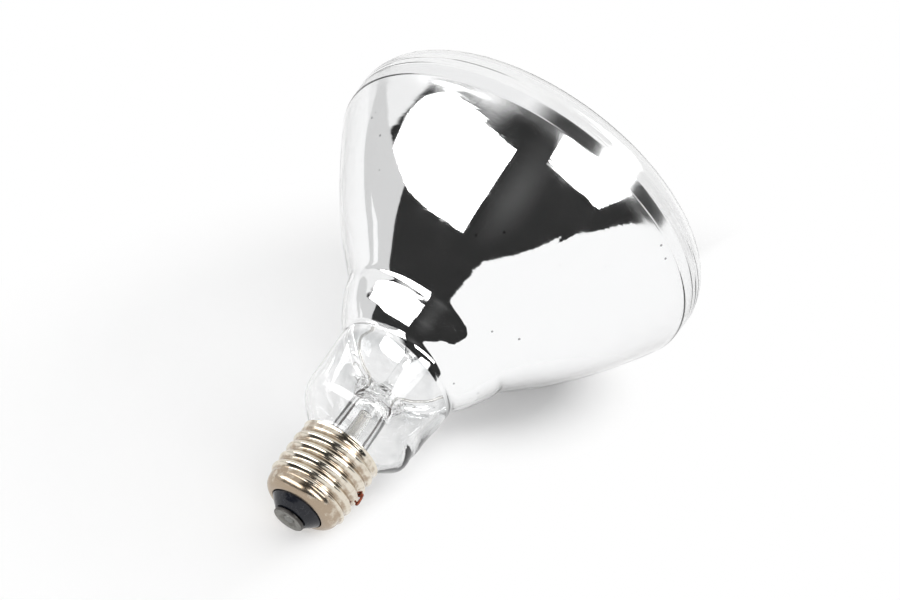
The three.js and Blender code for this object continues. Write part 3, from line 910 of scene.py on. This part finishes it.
class BULB_OT_mirror(bpy.types.Operator):
    """Mirror film on the inside of the bead and the bowl"""

    bl_idname = "bulb.mirror"
    bl_label = "Mirror film"

    def execute(self, context):
        glass = context.scene.bulb_glass
        mirror = context.scene.bulb_mirror
        top = BOWL_TOP + mirror.skirt / MM
        foot = mirror.foot / MM
        sag = mirror.sag / MM

        def outline(turn):
            line = bulb_line(glass, turn)
            back = inside(line, (glass.wall + mirror.gap) / MM)
            front = inside(line, (glass.wall + mirror.gap + mirror.thickness) / MM)
            kept = [index for index, place in enumerate(line) if foot < place.x < top]
            for index in kept[:SAG_ROWS]:
                drop = sag * math.cos(math.radians(turn - SAG_TURN)) * (1 - (index - kept[0]) / SAG_ROWS)
                slope = (line[index + 1].y - line[index].y) / (line[index + 1].x - line[index].x)
                for face in (back, front):
                    face[index] -= Vector((drop, drop * slope))
            sheet = [back[index] for index in kept] + [front[index] for index in reversed(kept)]
            return [*sheet, sheet[0]]

        piece = blown("aluminium_film", outline)
        lay_down(piece, "mirror_film", mirror_film(), "mirror_coating")
        return {"FINISHED"}


def cap_radius(cap, height, turn):
    """Radius of the cap's outside in its thread, collar and lip."""
    root = cap.root_width / 2 / MM
    collar = cap.collar_width / 2 / MM
    pitch = cap.pitch / MM
    run_in = smooth(height, THREAD_START, THREAD_START + THREAD_RUN)
    run_out = smooth(height, THREAD_END - THREAD_RUN, THREAD_END)
    crest = THREAD_PHASE + pitch * turn / 360
    wave = 0.5 + 0.5 * math.cos(math.tau * (height - crest) / pitch)
    depth = cap.crest_width / 2 / MM - root
    lip = (cap.lip_width / 2 / MM - collar) * smooth(height, RIM_HEIGHT - LIP_HEIGHT, RIM_HEIGHT)
    return root + depth * run_in * (1 - run_out) * wave + (collar - root) * run_out + lip


class BULB_OT_shell(bpy.types.Operator):
    """Screw cap rolled from thin sheet, with its curled foot, thread and flared lip"""

    bl_idname = "bulb.shell"
    bl_label = "Screw shell"

    def execute(self, context):
        cap = context.scene.bulb_cap
        root = cap.root_width / 2 / MM
        curl_top = MOUTH_HEIGHT + CURL_HEIGHT
        curl_rows = 14
        line = []
        for row in range(curl_rows):
            turn = math.pi / 2 * row / curl_rows
            height = curl_top - CURL_HEIGHT * math.cos(turn)
            line.append(Vector((height, MOUTH_RADIUS + (root - MOUTH_RADIUS) * math.sin(turn))))
        rows = 90
        for row in range(rows + 1):
            line.append(Vector((blend(curl_top, RIM_HEIGHT, row / rows), root)))
        piece = turned("threaded_shell", line, SMALL_SIDES)

        def threaded(height, radius, turn):
            if height > curl_top:
                radius = cap_radius(cap, height, turn)
            return height, radius * CAP_FIT

        reshape(piece, threaded)
        apply_modifier(piece, "SOLIDIFY", thickness=cap.sheet, offset=-1, use_even_offset=True)
        widest = max(Vector(vertex.co[:2]).length for vertex in piece.data.vertices)
        if widest > cap.crest_width / 2:
            raise RuntimeError("the sheet's thickness went outwards")
        self.drill(piece, cap)
        lay_down(piece, "nickel_plate", nickel_plate(), "screw_shell")
        return {"FINISHED"}

    def drill(self, piece, cap):
        """Drills the hole by which the side wire comes out."""
        deselect()
        hole = polar(WIRE_HOLE_HEIGHT, cap.root_width / 2 / MM, WIRE_TURN)
        turn = (0, math.radians(90), math.radians(WIRE_TURN - 90))
        bpy.ops.mesh.primitive_cylinder_add(
            vertices=24,
            radius=WIRE_HOLE_RADIUS * MM,
            depth=DRILL_LENGTH * MM,
            location=hole,
            rotation=turn,
        )
        drill = bpy.context.active_object
        apply_modifier(piece, "BOOLEAN", operation="DIFFERENCE", object=drill, solver="EXACT")
        deselect()
        drill.select_set(True)
        bpy.ops.object.delete()


class BULB_OT_insulator(bpy.types.Operator):
    """Black glass insulator between the cap and its contact"""

    bl_idname = "bulb.insulator"
    bl_label = "Insulator"

    def execute(self, context):
        outline = rounded(
            [
                (1.4, 2.3, 0),
                (1.4, 5.3, 0.45),
                (2.7, 6.75, 2.0),
                (4.2, 8.2, 0),
                (5.1, 8.2, 0.3),
                (5.6, 9.2, 0),
                (7.6, 11.0, 1.0),
                (8.4, 11.0, 0.3),
                (8.4, 2.3, 0),
                (1.4, 2.3, 0),
            ],
            12.0,
        )
        piece = turned("black_insulator", outline, SMALL_SIDES, SMALL_FIT)
        lay_down(piece, "black_glass", black_glass(), "insulator")
        return {"FINISHED"}


class BULB_OT_contact(bpy.types.Operator):
    """Centre contact with its dish and eyelet, and the solder in it"""

    bl_idname = "bulb.contact"
    bl_label = "Contact and solder"

    def execute(self, context):
        edge = context.scene.bulb_cap.contact_width / 2 / MM
        outline = rounded(
            [
                (0.9, 1.3, 0),
                (0.05, 3.0, 0.8),
                (0.0, 3.6, 0),
                (0.0, edge, 0.35),
                (1.1, edge, 0.35),
                (1.1, 2.0, 0.2),
                (6.1, 2.0, 0.1),
                (6.1, 1.3, 0),
                (0.9, 1.3, 0),
            ],
            15.0,
        )
        contact = turned("end_contact", outline, SMALL_SIDES, SMALL_FIT)
        lay_down(contact, "contact_metal", contact_metal(), "centre_contact")
        bead = rounded(
            [
                (0.12, 0, 0),
                (0.1, 1.2, 1.5),
                (0.62, 1.9, 0.3),
                (1.2, 1.0, 0.3),
                (3.0, 1.0, 0.3),
                (3.0, 0, 0),
            ],
            15.0,
        )
        solder = turned("contact_bead", bead, 48, SMALL_FIT)
        reshape(solder, lambda height, radius, turn: (height + 0.05 * uneven(radius * 3, turn, 1.0), radius))
        metal = plain_metal("grey solder", finishes().solder, (0.2, 0.2, 0.19), 0.8, 0.42)
        lay_down(solder, "solder", metal, "contact_solder")
        return {"FINISHED"}


class BULB_OT_cement(bpy.types.Operator):
    """Basing cement between the cap and the neck"""

    bl_idname = "bulb.cement"
    bl_label = "Basing cement"

    def execute(self, context):
        outline = rounded(
            [(12.2, 10.7, 0), (12.2, 11.4, 0.2), (21.5, 11.4, 0.2), (21.5, 10.7, 0.2), (12.2, 10.7, 0)],
            30.0,
        )
        piece = turned("cement_ring", outline, 72, SMALL_FIT)
        reshape(piece, lambda height, radius, turn: (height + 0.3 * uneven(height, turn * 3, 3.0), radius))
        lay_down(piece, "cement", fired_cement(), "basing_cement")
        return {"FINISHED"}


def pressed(stem, height):
    """How much thinner and wider the stem is at a height than its round tube."""
    share = smooth(height, PRESS_START, PRESS_FLAT)
    thin = blend(1, stem.press_thickness / stem.tube_width, share)
    wide = blend(1, stem.press_width / stem.tube_width, share)
    return thin, wide


class BULB_OT_stem(bpy.types.Operator):
    """Glass stem with its flared foot and pinched top, the exhaust tube and the arbor with its button"""

    bl_idname = "bulb.stem"
    bl_label = "Stem, exhaust tube and arbor"

    def execute(self, context):
        stem = context.scene.bulb_stem
        glass = stem_glass()
        lay_down(self.stem_tube(stem), "stem_glass", glass, "stem_flare")
        outer = stem.exhaust_width / 2 / MM
        bore = outer - 0.8
        tip = EXHAUST_TIP
        outline = rounded(
            [
                (tip, 0, 0),
                (tip + 0.3, outer * 0.45, 0.5),
                (tip + 2.5, outer, 2.0),
                (EXHAUST_TOP, outer, 0),
                (EXHAUST_TOP, bore, 0),
                (tip + 3.5, bore, 1.0),
                (tip + 2.0, 0, 0),
            ],
            12.0,
        )
        exhaust = turned("tipped_exhaust", outline, 48, SMALL_FIT)
        lay_down(exhaust, "stem_glass", glass, "exhaust_tube")
        arbor = rounded(
            [
                (STEM_TOP + 0.3, 0, 0),
                (STEM_TOP + 0.3, 2.2, 0.3),
                (STEM_TOP + 2.0, 1.6, 1.5),
                (BUTTON_HEIGHT - 3.0, 1.6, 1.0),
                (BUTTON_HEIGHT - 1.4, 2.8, 0.8),
                (BUTTON_HEIGHT + 1.4, 2.8, 1.3),
                (BUTTON_HEIGHT + 2.2, 1.2, 0.8),
                (BUTTON_HEIGHT + 2.2, 0, 0),
            ],
            12.0,
        )
        rod = turned("button_rod", arbor, 48, SMALL_FIT)
        lay_down(rod, "stem_glass", glass, "arbor_rod")
        return {"FINISHED"}

    def stem_tube(self, stem):
        tube = stem.tube_width / 2 / MM
        foot = stem.foot_width / 2 / MM
        line = []
        flare_rows = 14
        for row in range(flare_rows + 1):
            turn = math.pi / 2 * row / flare_rows
            height = STEM_FOOT + FLARE_HEIGHT * (1 - math.cos(turn))
            line.append(Vector((height, tube + (foot - tube) * (1 - math.sin(turn)))))
        press_rows = 16
        for row in range(press_rows + 1):
            line.append(Vector((blend(PRESS_START, PRESS_FLAT, row / press_rows), tube)))
        closed = 0.6
        cavity = []
        for place in reversed(inside(line, stem.wall / MM)):
            closing = smooth(place.x, PRESS_START, PRESS_FLAT)
            cavity.append(Vector((place.x, blend(place.y, closed, closing))))
        top_start = STEM_TOP - 1
        top_rows = 24
        top = []
        for row in range(top_rows):
            top.append(Vector((blend(PRESS_FLAT, top_start, (row + 1) / top_rows), tube)))
        top += rounded([(top_start, tube, 0), (STEM_TOP, tube, 0.9), (STEM_TOP, 0, 0)])[1:]
        piece = turned("pinched_stem", [Vector((cavity[0].x, 0)), *cavity, *line, *top], SMALL_SIDES)
        for vertex in piece.data.vertices:
            height = vertex.co.z / MM
            thin, wide = pressed(stem, height)
            share = smooth(height, PRESS_START, PRESS_FLAT)
            rough = 0.4 * smooth(height, 45, 49)
            lumps = 1 + 0.05 * share * noise.noise(vertex.co / MM * 0.45)
            lumps += rough * noise.noise(vertex.co / MM * 0.6)
            vertex.co.x *= thin * lumps
            vertex.co.y *= wide * lumps
        piece.data.transform(Matrix.Rotation(math.radians(STEM_TURN), 4, "Z"))
        return piece


def side_turn(side):
    """Turn of one of the two wires, which stand on opposite sides of the stem."""
    return STEM_TURN if side > 0 else STEM_TURN + 180


def lead_place(stem, height, side):
    """A place on one of the two wires where they run straight through the stem."""
    return polar(height, stem.lead_spacing / 2 / MM, side_turn(side))


class BULB_OT_leads(bpy.types.Operator):
    """Copper lead wires below the press and the seal wires in it"""

    bl_idname = "bulb.leads"
    bl_label = "Lead and seal wires"

    def execute(self, context):
        stem = context.scene.bulb_stem
        cap = context.scene.bulb_cap
        copper = oxidised_copper()
        far = side_turn(-1)
        centre_path = [
            lead_place(stem, 39.7, -1),
            lead_place(stem, 34.5, -1),
            lead_place(stem, 17.2, -1),
            polar(11.7, 4.2, far),
            polar(7.6, 0.6, far),
            polar(6.1, 0, 0),
            polar(3.3, 0, 0),
        ]
        centre = wire("centre_wire", centre_path, stem.lead_width)
        lay_down(centre, "copper_wire", copper, "outer_lead_centre")
        channel = WIRE_CHANNEL_RADIUS
        groove = cap_radius(cap, WIRE_HOLE_HEIGHT, WIRE_TURN) * CAP_FIT + 0.5
        side_path = [
            lead_place(stem, 39.7, 1),
            lead_place(stem, 34.5, 1),
            lead_place(stem, 16.2, 1),
            polar(10.3, 5.2, STEM_TURN),
            polar(9.1, 6.8, STEM_TURN),
            polar(9.1, channel - 1.8, WIRE_TURN),
            polar(10.1, channel - 0.1, WIRE_TURN),
            polar(12.1, channel, WIRE_TURN),
            polar(16.6, channel, WIRE_TURN),
            polar(WIRE_HOLE_HEIGHT, channel + 0.7, WIRE_TURN),
            polar(WIRE_HOLE_HEIGHT, groove, WIRE_TURN),
            polar(18.9, groove + 0.35, 25),
            polar(18.3, groove + 0.65, 27),
            polar(17.4, groove + 0.75, 29),
            polar(16.3, groove + 0.8, 30),
            polar(15.7, groove + 0.75, 28),
            polar(15.3, groove + 0.7, 24),
        ]
        side_wire = wire("side_wire", side_path, stem.side_wire_width)
        lay_down(side_wire, "copper_wire", copper, "outer_lead_side")
        for number, side in ((1, 1), (2, -1)):
            path = [lead_place(stem, height, side) for height in (40.0, 43.0, 46.0)]
            seal = wire(f"sealed_wire_{number}", path, stem.lead_width)
            lay_down(seal, "copper_wire", copper, f"seal_wire_{number}")
        return {"FINISHED"}


class BULB_OT_filament(bpy.types.Operator):
    """Coiled filament in its open ring, with its two leads and hooked supports"""

    bl_idname = "bulb.filament"
    bl_label = "Filament and supports"

    def execute(self, context):
        sizes = context.scene.bulb_filament
        stem = context.scene.bulb_stem
        colours = finishes()
        nickel = plain_metal("satin nickel wire", colours.nickel_wire, (0.5, 0.49, 0.47), 1.5, 0.2)
        tungsten = plain_metal("drawn tungsten", colours.tungsten, (0.2, 0.2, 0.2), 0.8, 0.35)
        ring = sizes.ring_width / 2 / MM
        lay_down(self.coil(sizes, ring), "tungsten", tungsten, "filament")
        for number, side in ((1, 1), (2, -1)):
            start_turn = side_turn(side)
            end_turn = RING_START + RING_SPAN - 360 if side > 0 else RING_START
            end_turn += side * math.degrees(1.2 / ring)
            turns = [blend(start_turn, end_turn, share) for share in (0.05, 0.45, 0.9, 1.0)]
            path = [
                lead_place(stem, 46.3, side),
                lead_place(stem, 49.5, side),
                polar(52.5, 9.5, start_turn),
                polar(57.0, 14.0, turns[0]),
                polar(66.0, 16.5, turns[1]),
                polar(78.0, 18.2, turns[2]),
                polar(RING_HEIGHT, ring, turns[3]),
            ]
            lead = wire(f"nickel_lead_{number}", path, sizes.lead_width)
            lay_down(lead, "nickel_wire", nickel, f"inner_lead_{number}")
        for number in range(1, SUPPORT_COUNT + 1):
            turn = RING_START + RING_SPAN * (number - 0.5) / SUPPORT_COUNT
            support = wire(f"hooked_support_{number}", self.hook(ring, turn), sizes.support_width)
            lay_down(support, "nickel_wire", nickel, f"filament_support_{number}")
        return {"FINISHED"}

    def coil(self, sizes, ring):
        """The fine coil, wound round the ring's line."""
        radius = (sizes.coil_width - sizes.wire_width) / 2 / MM
        steps = 10
        count = sizes.turns * steps
        places = []
        for step in range(count + 1):
            wind = math.tau * step / steps
            turn = RING_START + RING_SPAN * step / count
            places.append(polar(RING_HEIGHT + radius * math.sin(wind), ring + radius * math.cos(wind), turn))
        return fine_wire("coiled_filament", places, sizes.wire_width)

    def hook(self, ring, turn):
        """A support from the button, ending in a loop round the coil."""
        loop = 1.15
        places = [polar(BUTTON_HEIGHT, 2.5, turn), polar(BUTTON_HEIGHT + 3.4, 6.5, turn)]
        places += [polar(77.5, 14.6, turn), polar(RING_HEIGHT - 2.6, ring - 1.6, turn)]
        for step in range(10):
            angle = math.radians(-120 + 36 * step)
            side = turn + math.degrees(0.18 * (step - 4) / ring)
            places.append(polar(RING_HEIGHT + loop * math.sin(angle), ring + loop * math.cos(angle), side))
        return places


# Corners of the two lamps where the bowl mirrors them, in pixels across and down the photo
LEFT_LAMP = [
    (516, 150), (463, 231), (447, 221), (430, 210), (415, 197), (408, 190), (392, 145), (405, 115),
    (415, 102), (425, 95), (437, 90), (450, 88), (465, 100), (480, 112), (498, 132),
]
RIGHT_LAMP = [
    (560, 143), (551, 157), (563, 171), (575, 183), (588, 196), (600, 208), (612, 204), (625, 198),
]

# Distance of the lamps from the bowl and the two corners that it doesn't mirror, in millimetres
LAMP_DISTANCE = 1900.0
RIGHT_LAMP_REST = [(-450, -1850, 280), (-970, -1110, 1350)]

# Corners of the floor's edge where the bowl mirrors them, in pixels, left and right in the photo
LEFT_FLOOR_EDGE = [(365, 130), (362.7, 150), (363, 196.7), (371, 245), (372, 225), (370, 207)]
RIGHT_FLOOR_EDGE = [(600, 230), (630, 224), (655, 222)]

# The rest of the floor's edge, in millimetres: before, between and after those two
FLOOR_START = [(1500, -1500, 0), (1500, 1500, 0), (90, 1500, 0)]
FLOOR_MIDDLE = [(-320, 1500, 0), (-2500, 1500, 0), (-2500, -1800, 0), (-1210, -1800, 0)]
FLOOR_END = [(20, -340, 0), (560, -1000, 0), (900, -1500, 0)]

# Place on the floor below the bowl, where its shadow is darkest, in metres
UNDER_BOWL = (0.03, 0, 0)

# Camera in metres, its lens and sensor in millimetres, and the photo's size in pixels
CAMERA_PLACE = (-0.44065, -0.32196, 0.35684)
CAMERA_AIM = (0.0109, 0.00368, 0.040)
CAMERA_LENS = 84.0
SENSOR_WIDTH = 36.0
PHOTO_WIDTH = 900
PHOTO_HEIGHT = 600


def mirrored(across, down):
    """Where the sight through a place in the photo meets the bowl, and its direction from there."""
    turn = (Vector(CAMERA_AIM) - Vector(CAMERA_PLACE)).to_track_quat("-Z", "Y")
    lens = PHOTO_WIDTH * CAMERA_LENS / SENSOR_WIDTH
    sight = turn @ Vector((across - PHOTO_WIDTH / 2, PHOTO_HEIGHT / 2 - down, -lens)).normalized()
    eye = (Vector(CAMERA_PLACE) - TIP) / MM
    height = eye.dot(AXIS)
    climb = sight.dot(AXIS)

    # The bowl is a parabola about its axis, so the distance to it solves a quadratic equation
    square = 1 - climb ** 2
    linear = eye.dot(sight) - climb * (height + 2 * BOWL_FOCAL_LENGTH)
    constant = eye.length_squared - height ** 2 - 4 * BOWL_FOCAL_LENGTH * (height - BOWL_VERTEX)
    place = eye - sight * ((linear + math.sqrt(linear ** 2 - square * constant)) / square)
    normal = place - AXIS * (place.dot(AXIS) + 2 * BOWL_FOCAL_LENGTH)
    return place + TIP / MM, sight.reflect(normal)


def at_lamp(across, down):
    """The place of a lamp's corner that the bowl mirrors to a place in the photo."""
    place, onward = mirrored(across, down)
    return place + onward * LAMP_DISTANCE


def on_floor(across, down):
    """The place on the floor that the bowl mirrors to a place in the photo."""
    place, onward = mirrored(across, down)
    return place - onward * (place.z / onward.z)


def sheet_between(name, corners):
    """A sheet with the given corners."""
    places = [Vector(corner) * MM for corner in corners]
    piece = start(name, places[0])
    trace(places)
    bpy.ops.mesh.select_all(action="SELECT")
    bpy.ops.mesh.edge_face_add()
    bpy.ops.object.mode_set(mode="OBJECT")
    return piece


def bright_material(name, strength):
    """A plain white surface that gives light."""
    material = bpy.data.materials.new(name)
    material.use_nodes = True
    tree = material.node_tree
    tree.nodes.clear()
    light = node(tree, "ShaderNodeEmission", {"Strength": strength})
    node(tree, "ShaderNodeOutputMaterial", {"Surface": light.outputs[0]})
    return material


def floor_material(stage):
    """White floor that keeps its shadows and looks white to the camera and in reflections."""
    material = bpy.data.materials.new("white floor")
    material.use_nodes = True
    tree = material.node_tree
    tree.nodes.clear()
    seen = node(tree, "ShaderNodeLightPath").outputs
    direct = maths(tree, "MAXIMUM", seen["Is Camera Ray"], seen["Is Glossy Ray"])
    direct = maths(tree, "MAXIMUM", direct, seen["Is Transmission Ray"])
    matte = node(tree, "ShaderNodeBsdfDiffuse", {"Color": (stage.floor, stage.floor, stage.floor, 1.0)})
    white = node(tree, "ShaderNodeEmission", {"Strength": 1.0})
    place = node(tree, "ShaderNodeTexCoord").outputs["Object"]
    reach = stage.shade_reach
    away = node(tree, "ShaderNodeVectorMath", {0: place}, operation="LENGTH").outputs["Value"]
    far = scaled(tree, away, reach, 1.8 * reach)
    spots = {0: place, 1: UNDER_BOWL}
    from_bowl = node(tree, "ShaderNodeVectorMath", spots, operation="DISTANCE").outputs["Value"]
    sideways = node(tree, "ShaderNodeSeparateXYZ", {0: place}).outputs[1]
    near_side = scaled(tree, sideways, 5 * MM, -13 * MM)
    front = times(tree, scaled(tree, from_bowl, 10 * MM, 0.48 * reach), near_side)
    lit = maths(tree, "MAXIMUM", stage.floor_glow, maths(tree, "MAXIMUM", far, front))
    share = times(tree, direct, lit)
    mix = node(tree, "ShaderNodeMixShader", {0: share, 1: matte.outputs[0], 2: white.outputs[0]})
    node(tree, "ShaderNodeOutputMaterial", {"Surface": mix.outputs[0]})
    return material


def between(tree, value, low, high, edge):
    """1 between two limits and 0 outside them, with soft edges."""
    rise = scaled(tree, value, low - edge, low + edge)
    fall = scaled(tree, value, high - edge, high + edge, 1.0, 0.0)
    return times(tree, rise, fall)


def area(tree, compass, turns, rise, rises, edge):
    """1 inside a span of compass turns and a span of elevations."""
    across = between(tree, compass, *turns, edge)
    return times(tree, across, between(tree, rise, *rises, edge))


def below(tree, value, limit, edge):
    """1 where a value is under a limit that may itself vary."""
    over = maths(tree, "SUBTRACT", value, limit)
    return scaled(tree, over, -edge, edge, 1.0, 0.0)


def cover(tree, under, mask, value):
    """Lays a brightness over another where the mask is 1."""
    kept = times(tree, under, maths(tree, "SUBTRACT", 1.0, mask))
    return plus(tree, kept, times(tree, mask, value))


def room(tree):
    """Brightness of the room that the mirror and the metal show, by compass turn and elevation."""
    toward = node(tree, "ShaderNodeTexCoord").outputs["Generated"]
    parts = node(tree, "ShaderNodeSeparateXYZ", {0: toward}).outputs
    compass = maths(tree, "DEGREES", maths(tree, "ARCTAN2", parts[0], parts[1]))
    rise = maths(tree, "DEGREES", maths(tree, "ARCSINE", parts[2]))

    # Dark room with a faint glow behind the camera
    glow = area(tree, compass, (-121.0, -104.0), rise, (16.0, 31.0), 9.0)
    value = plus(tree, 0.03, times(tree, glow, 0.06))

    # Ceiling over the far half of the room, and a bright light in it
    ceiling = scaled(tree, rise, 43.0, 70.0, 0.65, 1.0)
    side = plus(tree, times(tree, parts[0], 0.35), times(tree, parts[1], 0.94))
    overhead = times(tree, scaled(tree, rise, 38.0, 43.0), scaled(tree, side, -0.32, -0.04))
    value = cover(tree, value, overhead, ceiling)
    skylight = area(tree, compass, (-30.0, 22.0), rise, (44.0, 78.0), 2.0)
    value = cover(tree, value, skylight, 4.0)

    # Pale backdrop with a slanting end, and a greyer panel low at its left
    slant = plus(tree, compass, times(tree, rise, 0.78))
    backdrop = times(tree, scaled(tree, slant, -8.0, -6.5), below(tree, compass, 150.0, 1.0))
    value = cover(tree, value, backdrop, 0.9)
    panel_top = maths(tree, "SUBTRACT", 5.6, times(tree, compass, 0.3))
    panel_width = between(tree, compass, -38.0, 3.0, 0.5)
    panel = times(tree, panel_width, below(tree, rise, panel_top, 0.4))
    value = cover(tree, value, panel, 0.68)

    # White floor that sweeps up a little behind the camera
    sweep_top = scaled(tree, compass, -139.5, -106.0, 0.4, 3.9)
    sweep_width = between(tree, compass, -140.0, -100.0, 0.5)
    sweep = times(tree, sweep_width, below(tree, rise, sweep_top, 0.3))
    value = cover(tree, value, sweep, 1.0)

    # Tall window at the right
    window_top = maths(tree, "SUBTRACT", 100.0, times(tree, compass, 0.35))
    window_width = between(tree, compass, 118.0, 171.0, 1.5)
    window = times(tree, window_width, below(tree, rise, window_top, 1.5))
    window = times(tree, window, scaled(tree, rise, 21.0, 24.0))
    return cover(tree, value, window, 5.0)


def white_world(stage):
    """White all round for the camera, the room in reflections and plain light on matte surfaces."""
    world = bpy.data.worlds.new("plain studio")
    bpy.context.scene.world = world
    world.use_nodes = True
    world.cycles.sampling_method = "NONE"
    tree = world.node_tree
    tree.nodes.clear()
    seen = node(tree, "ShaderNodeLightPath").outputs
    mirrored = maths(tree, "GREATER_THAN", seen["Glossy Depth"], 0.5)
    scattered = maths(tree, "GREATER_THAN", seen["Diffuse Depth"], 0.5)
    straight = maths(tree, "SUBTRACT", 1.0, maths(tree, "MAXIMUM", mirrored, scattered))
    through = times(tree, seen["Is Transmission Ray"], straight)
    backdrop = maths(tree, "MAXIMUM", seen["Is Camera Ray"], through)
    glossy = times(tree, mirrored, maths(tree, "SUBTRACT", 1.0, seen["Is Diffuse Ray"]))
    value = cover(tree, stage.ambient, glossy, room(tree))
    value = cover(tree, value, backdrop, 1.0)
    light = node(tree, "ShaderNodeBackground", {"Strength": value})
    light.inputs["Color"].default_value = (1, 1, 1, 1)
    node(tree, "ShaderNodeOutputWorld", {"Surface": light.outputs[0]})


class BULB_OT_stage(bpy.types.Operator):
    """Floor, two soft lamps, plain white surroundings and the camera"""

    bl_idname = "bulb.stage"
    bl_label = "Stage"

    def execute(self, context):
        stage = context.scene.bulb_stage
        context.scene.view_settings.view_transform = "Standard"
        left_edge = [on_floor(*pixel) for pixel in LEFT_FLOOR_EDGE]
        right_edge = [on_floor(*pixel) for pixel in RIGHT_FLOOR_EDGE]
        edge = [*FLOOR_START, *left_edge, *FLOOR_MIDDLE, *right_edge, *FLOOR_END]
        floor = sheet_between("white_floor", edge)
        floor.data.materials.append(floor_material(stage))
        left = [at_lamp(*pixel) for pixel in LEFT_LAMP]
        right = [at_lamp(*pixel) for pixel in RIGHT_LAMP] + RIGHT_LAMP_REST
        for name, corners in (("left_softbox", left), ("right_softbox", right)):
            lamp = sheet_between(name, corners)
            lamp.data.materials.append(bright_material(name + " light", stage.lamp))
            lamp.visible_camera = False
        white_world(stage)
        sight = Vector(CAMERA_AIM) - Vector(CAMERA_PLACE)
        deselect()
        bpy.ops.object.camera_add(
            location=CAMERA_PLACE, rotation=sight.to_track_quat("-Z", "Y").to_euler()
        )
        camera = context.active_object
        camera.data.lens = CAMERA_LENS
        camera.data.sensor_width = SENSOR_WIDTH
        context.scene.camera = camera
        return {"FINISHED"}


class BULB_PT_pieces(bpy.types.Panel):
    """Lists the bulb's pieces and sizes"""

    bl_idname = "BULB_PT_pieces"
    bl_label = "Reflector bulb"
    bl_space_type = "VIEW_3D"
    bl_region_type = "UI"
    bl_category = "Reflector bulb"

    def draw(self, context):
        for operator in OPERATORS:
            self.layout.operator(operator.bl_idname)
        for name in SETTINGS:
            box = self.layout.box()
            settings = getattr(context.scene, name)
            for key in settings.__annotations__:
                box.prop(settings, key)


OPERATORS = (
    BULB_OT_stage,
    BULB_OT_glass,
    BULB_OT_mirror,
    BULB_OT_shell,
    BULB_OT_insulator,
    BULB_OT_contact,
    BULB_OT_cement,
    BULB_OT_stem,
    BULB_OT_leads,
    BULB_OT_filament,
)
SETTINGS = {
    "bulb_glass": BULB_PG_glass,
    "bulb_mirror": BULB_PG_mirror,
    "bulb_cap": BULB_PG_cap,
    "bulb_stem": BULB_PG_stem,
    "bulb_filament": BULB_PG_filament,
    "bulb_finishes": BULB_PG_finishes,
    "bulb_stage": BULB_PG_stage,
}


def register():
    for made in (*SETTINGS.values(), *OPERATORS, BULB_PT_pieces):
        bpy.utils.register_class(made)
    for name, group in SETTINGS.items():
        setattr(bpy.types.Scene, name, PointerProperty(type=group))


def unregister():
    for name in SETTINGS:
        delattr(bpy.types.Scene, name)
    for made in reversed((*SETTINGS.values(), *OPERATORS, BULB_PT_pieces)):
        bpy.utils.unregister_class(made)


def main():
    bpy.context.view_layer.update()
    register()
    bulb_axis_group()
    patches_group()
    specks_group()
    for operator in OPERATORS:
        module, name = operator.bl_idname.split(".")
        getattr(getattr(bpy.ops, module), name)()


if __name__ == "__main__":
    main()
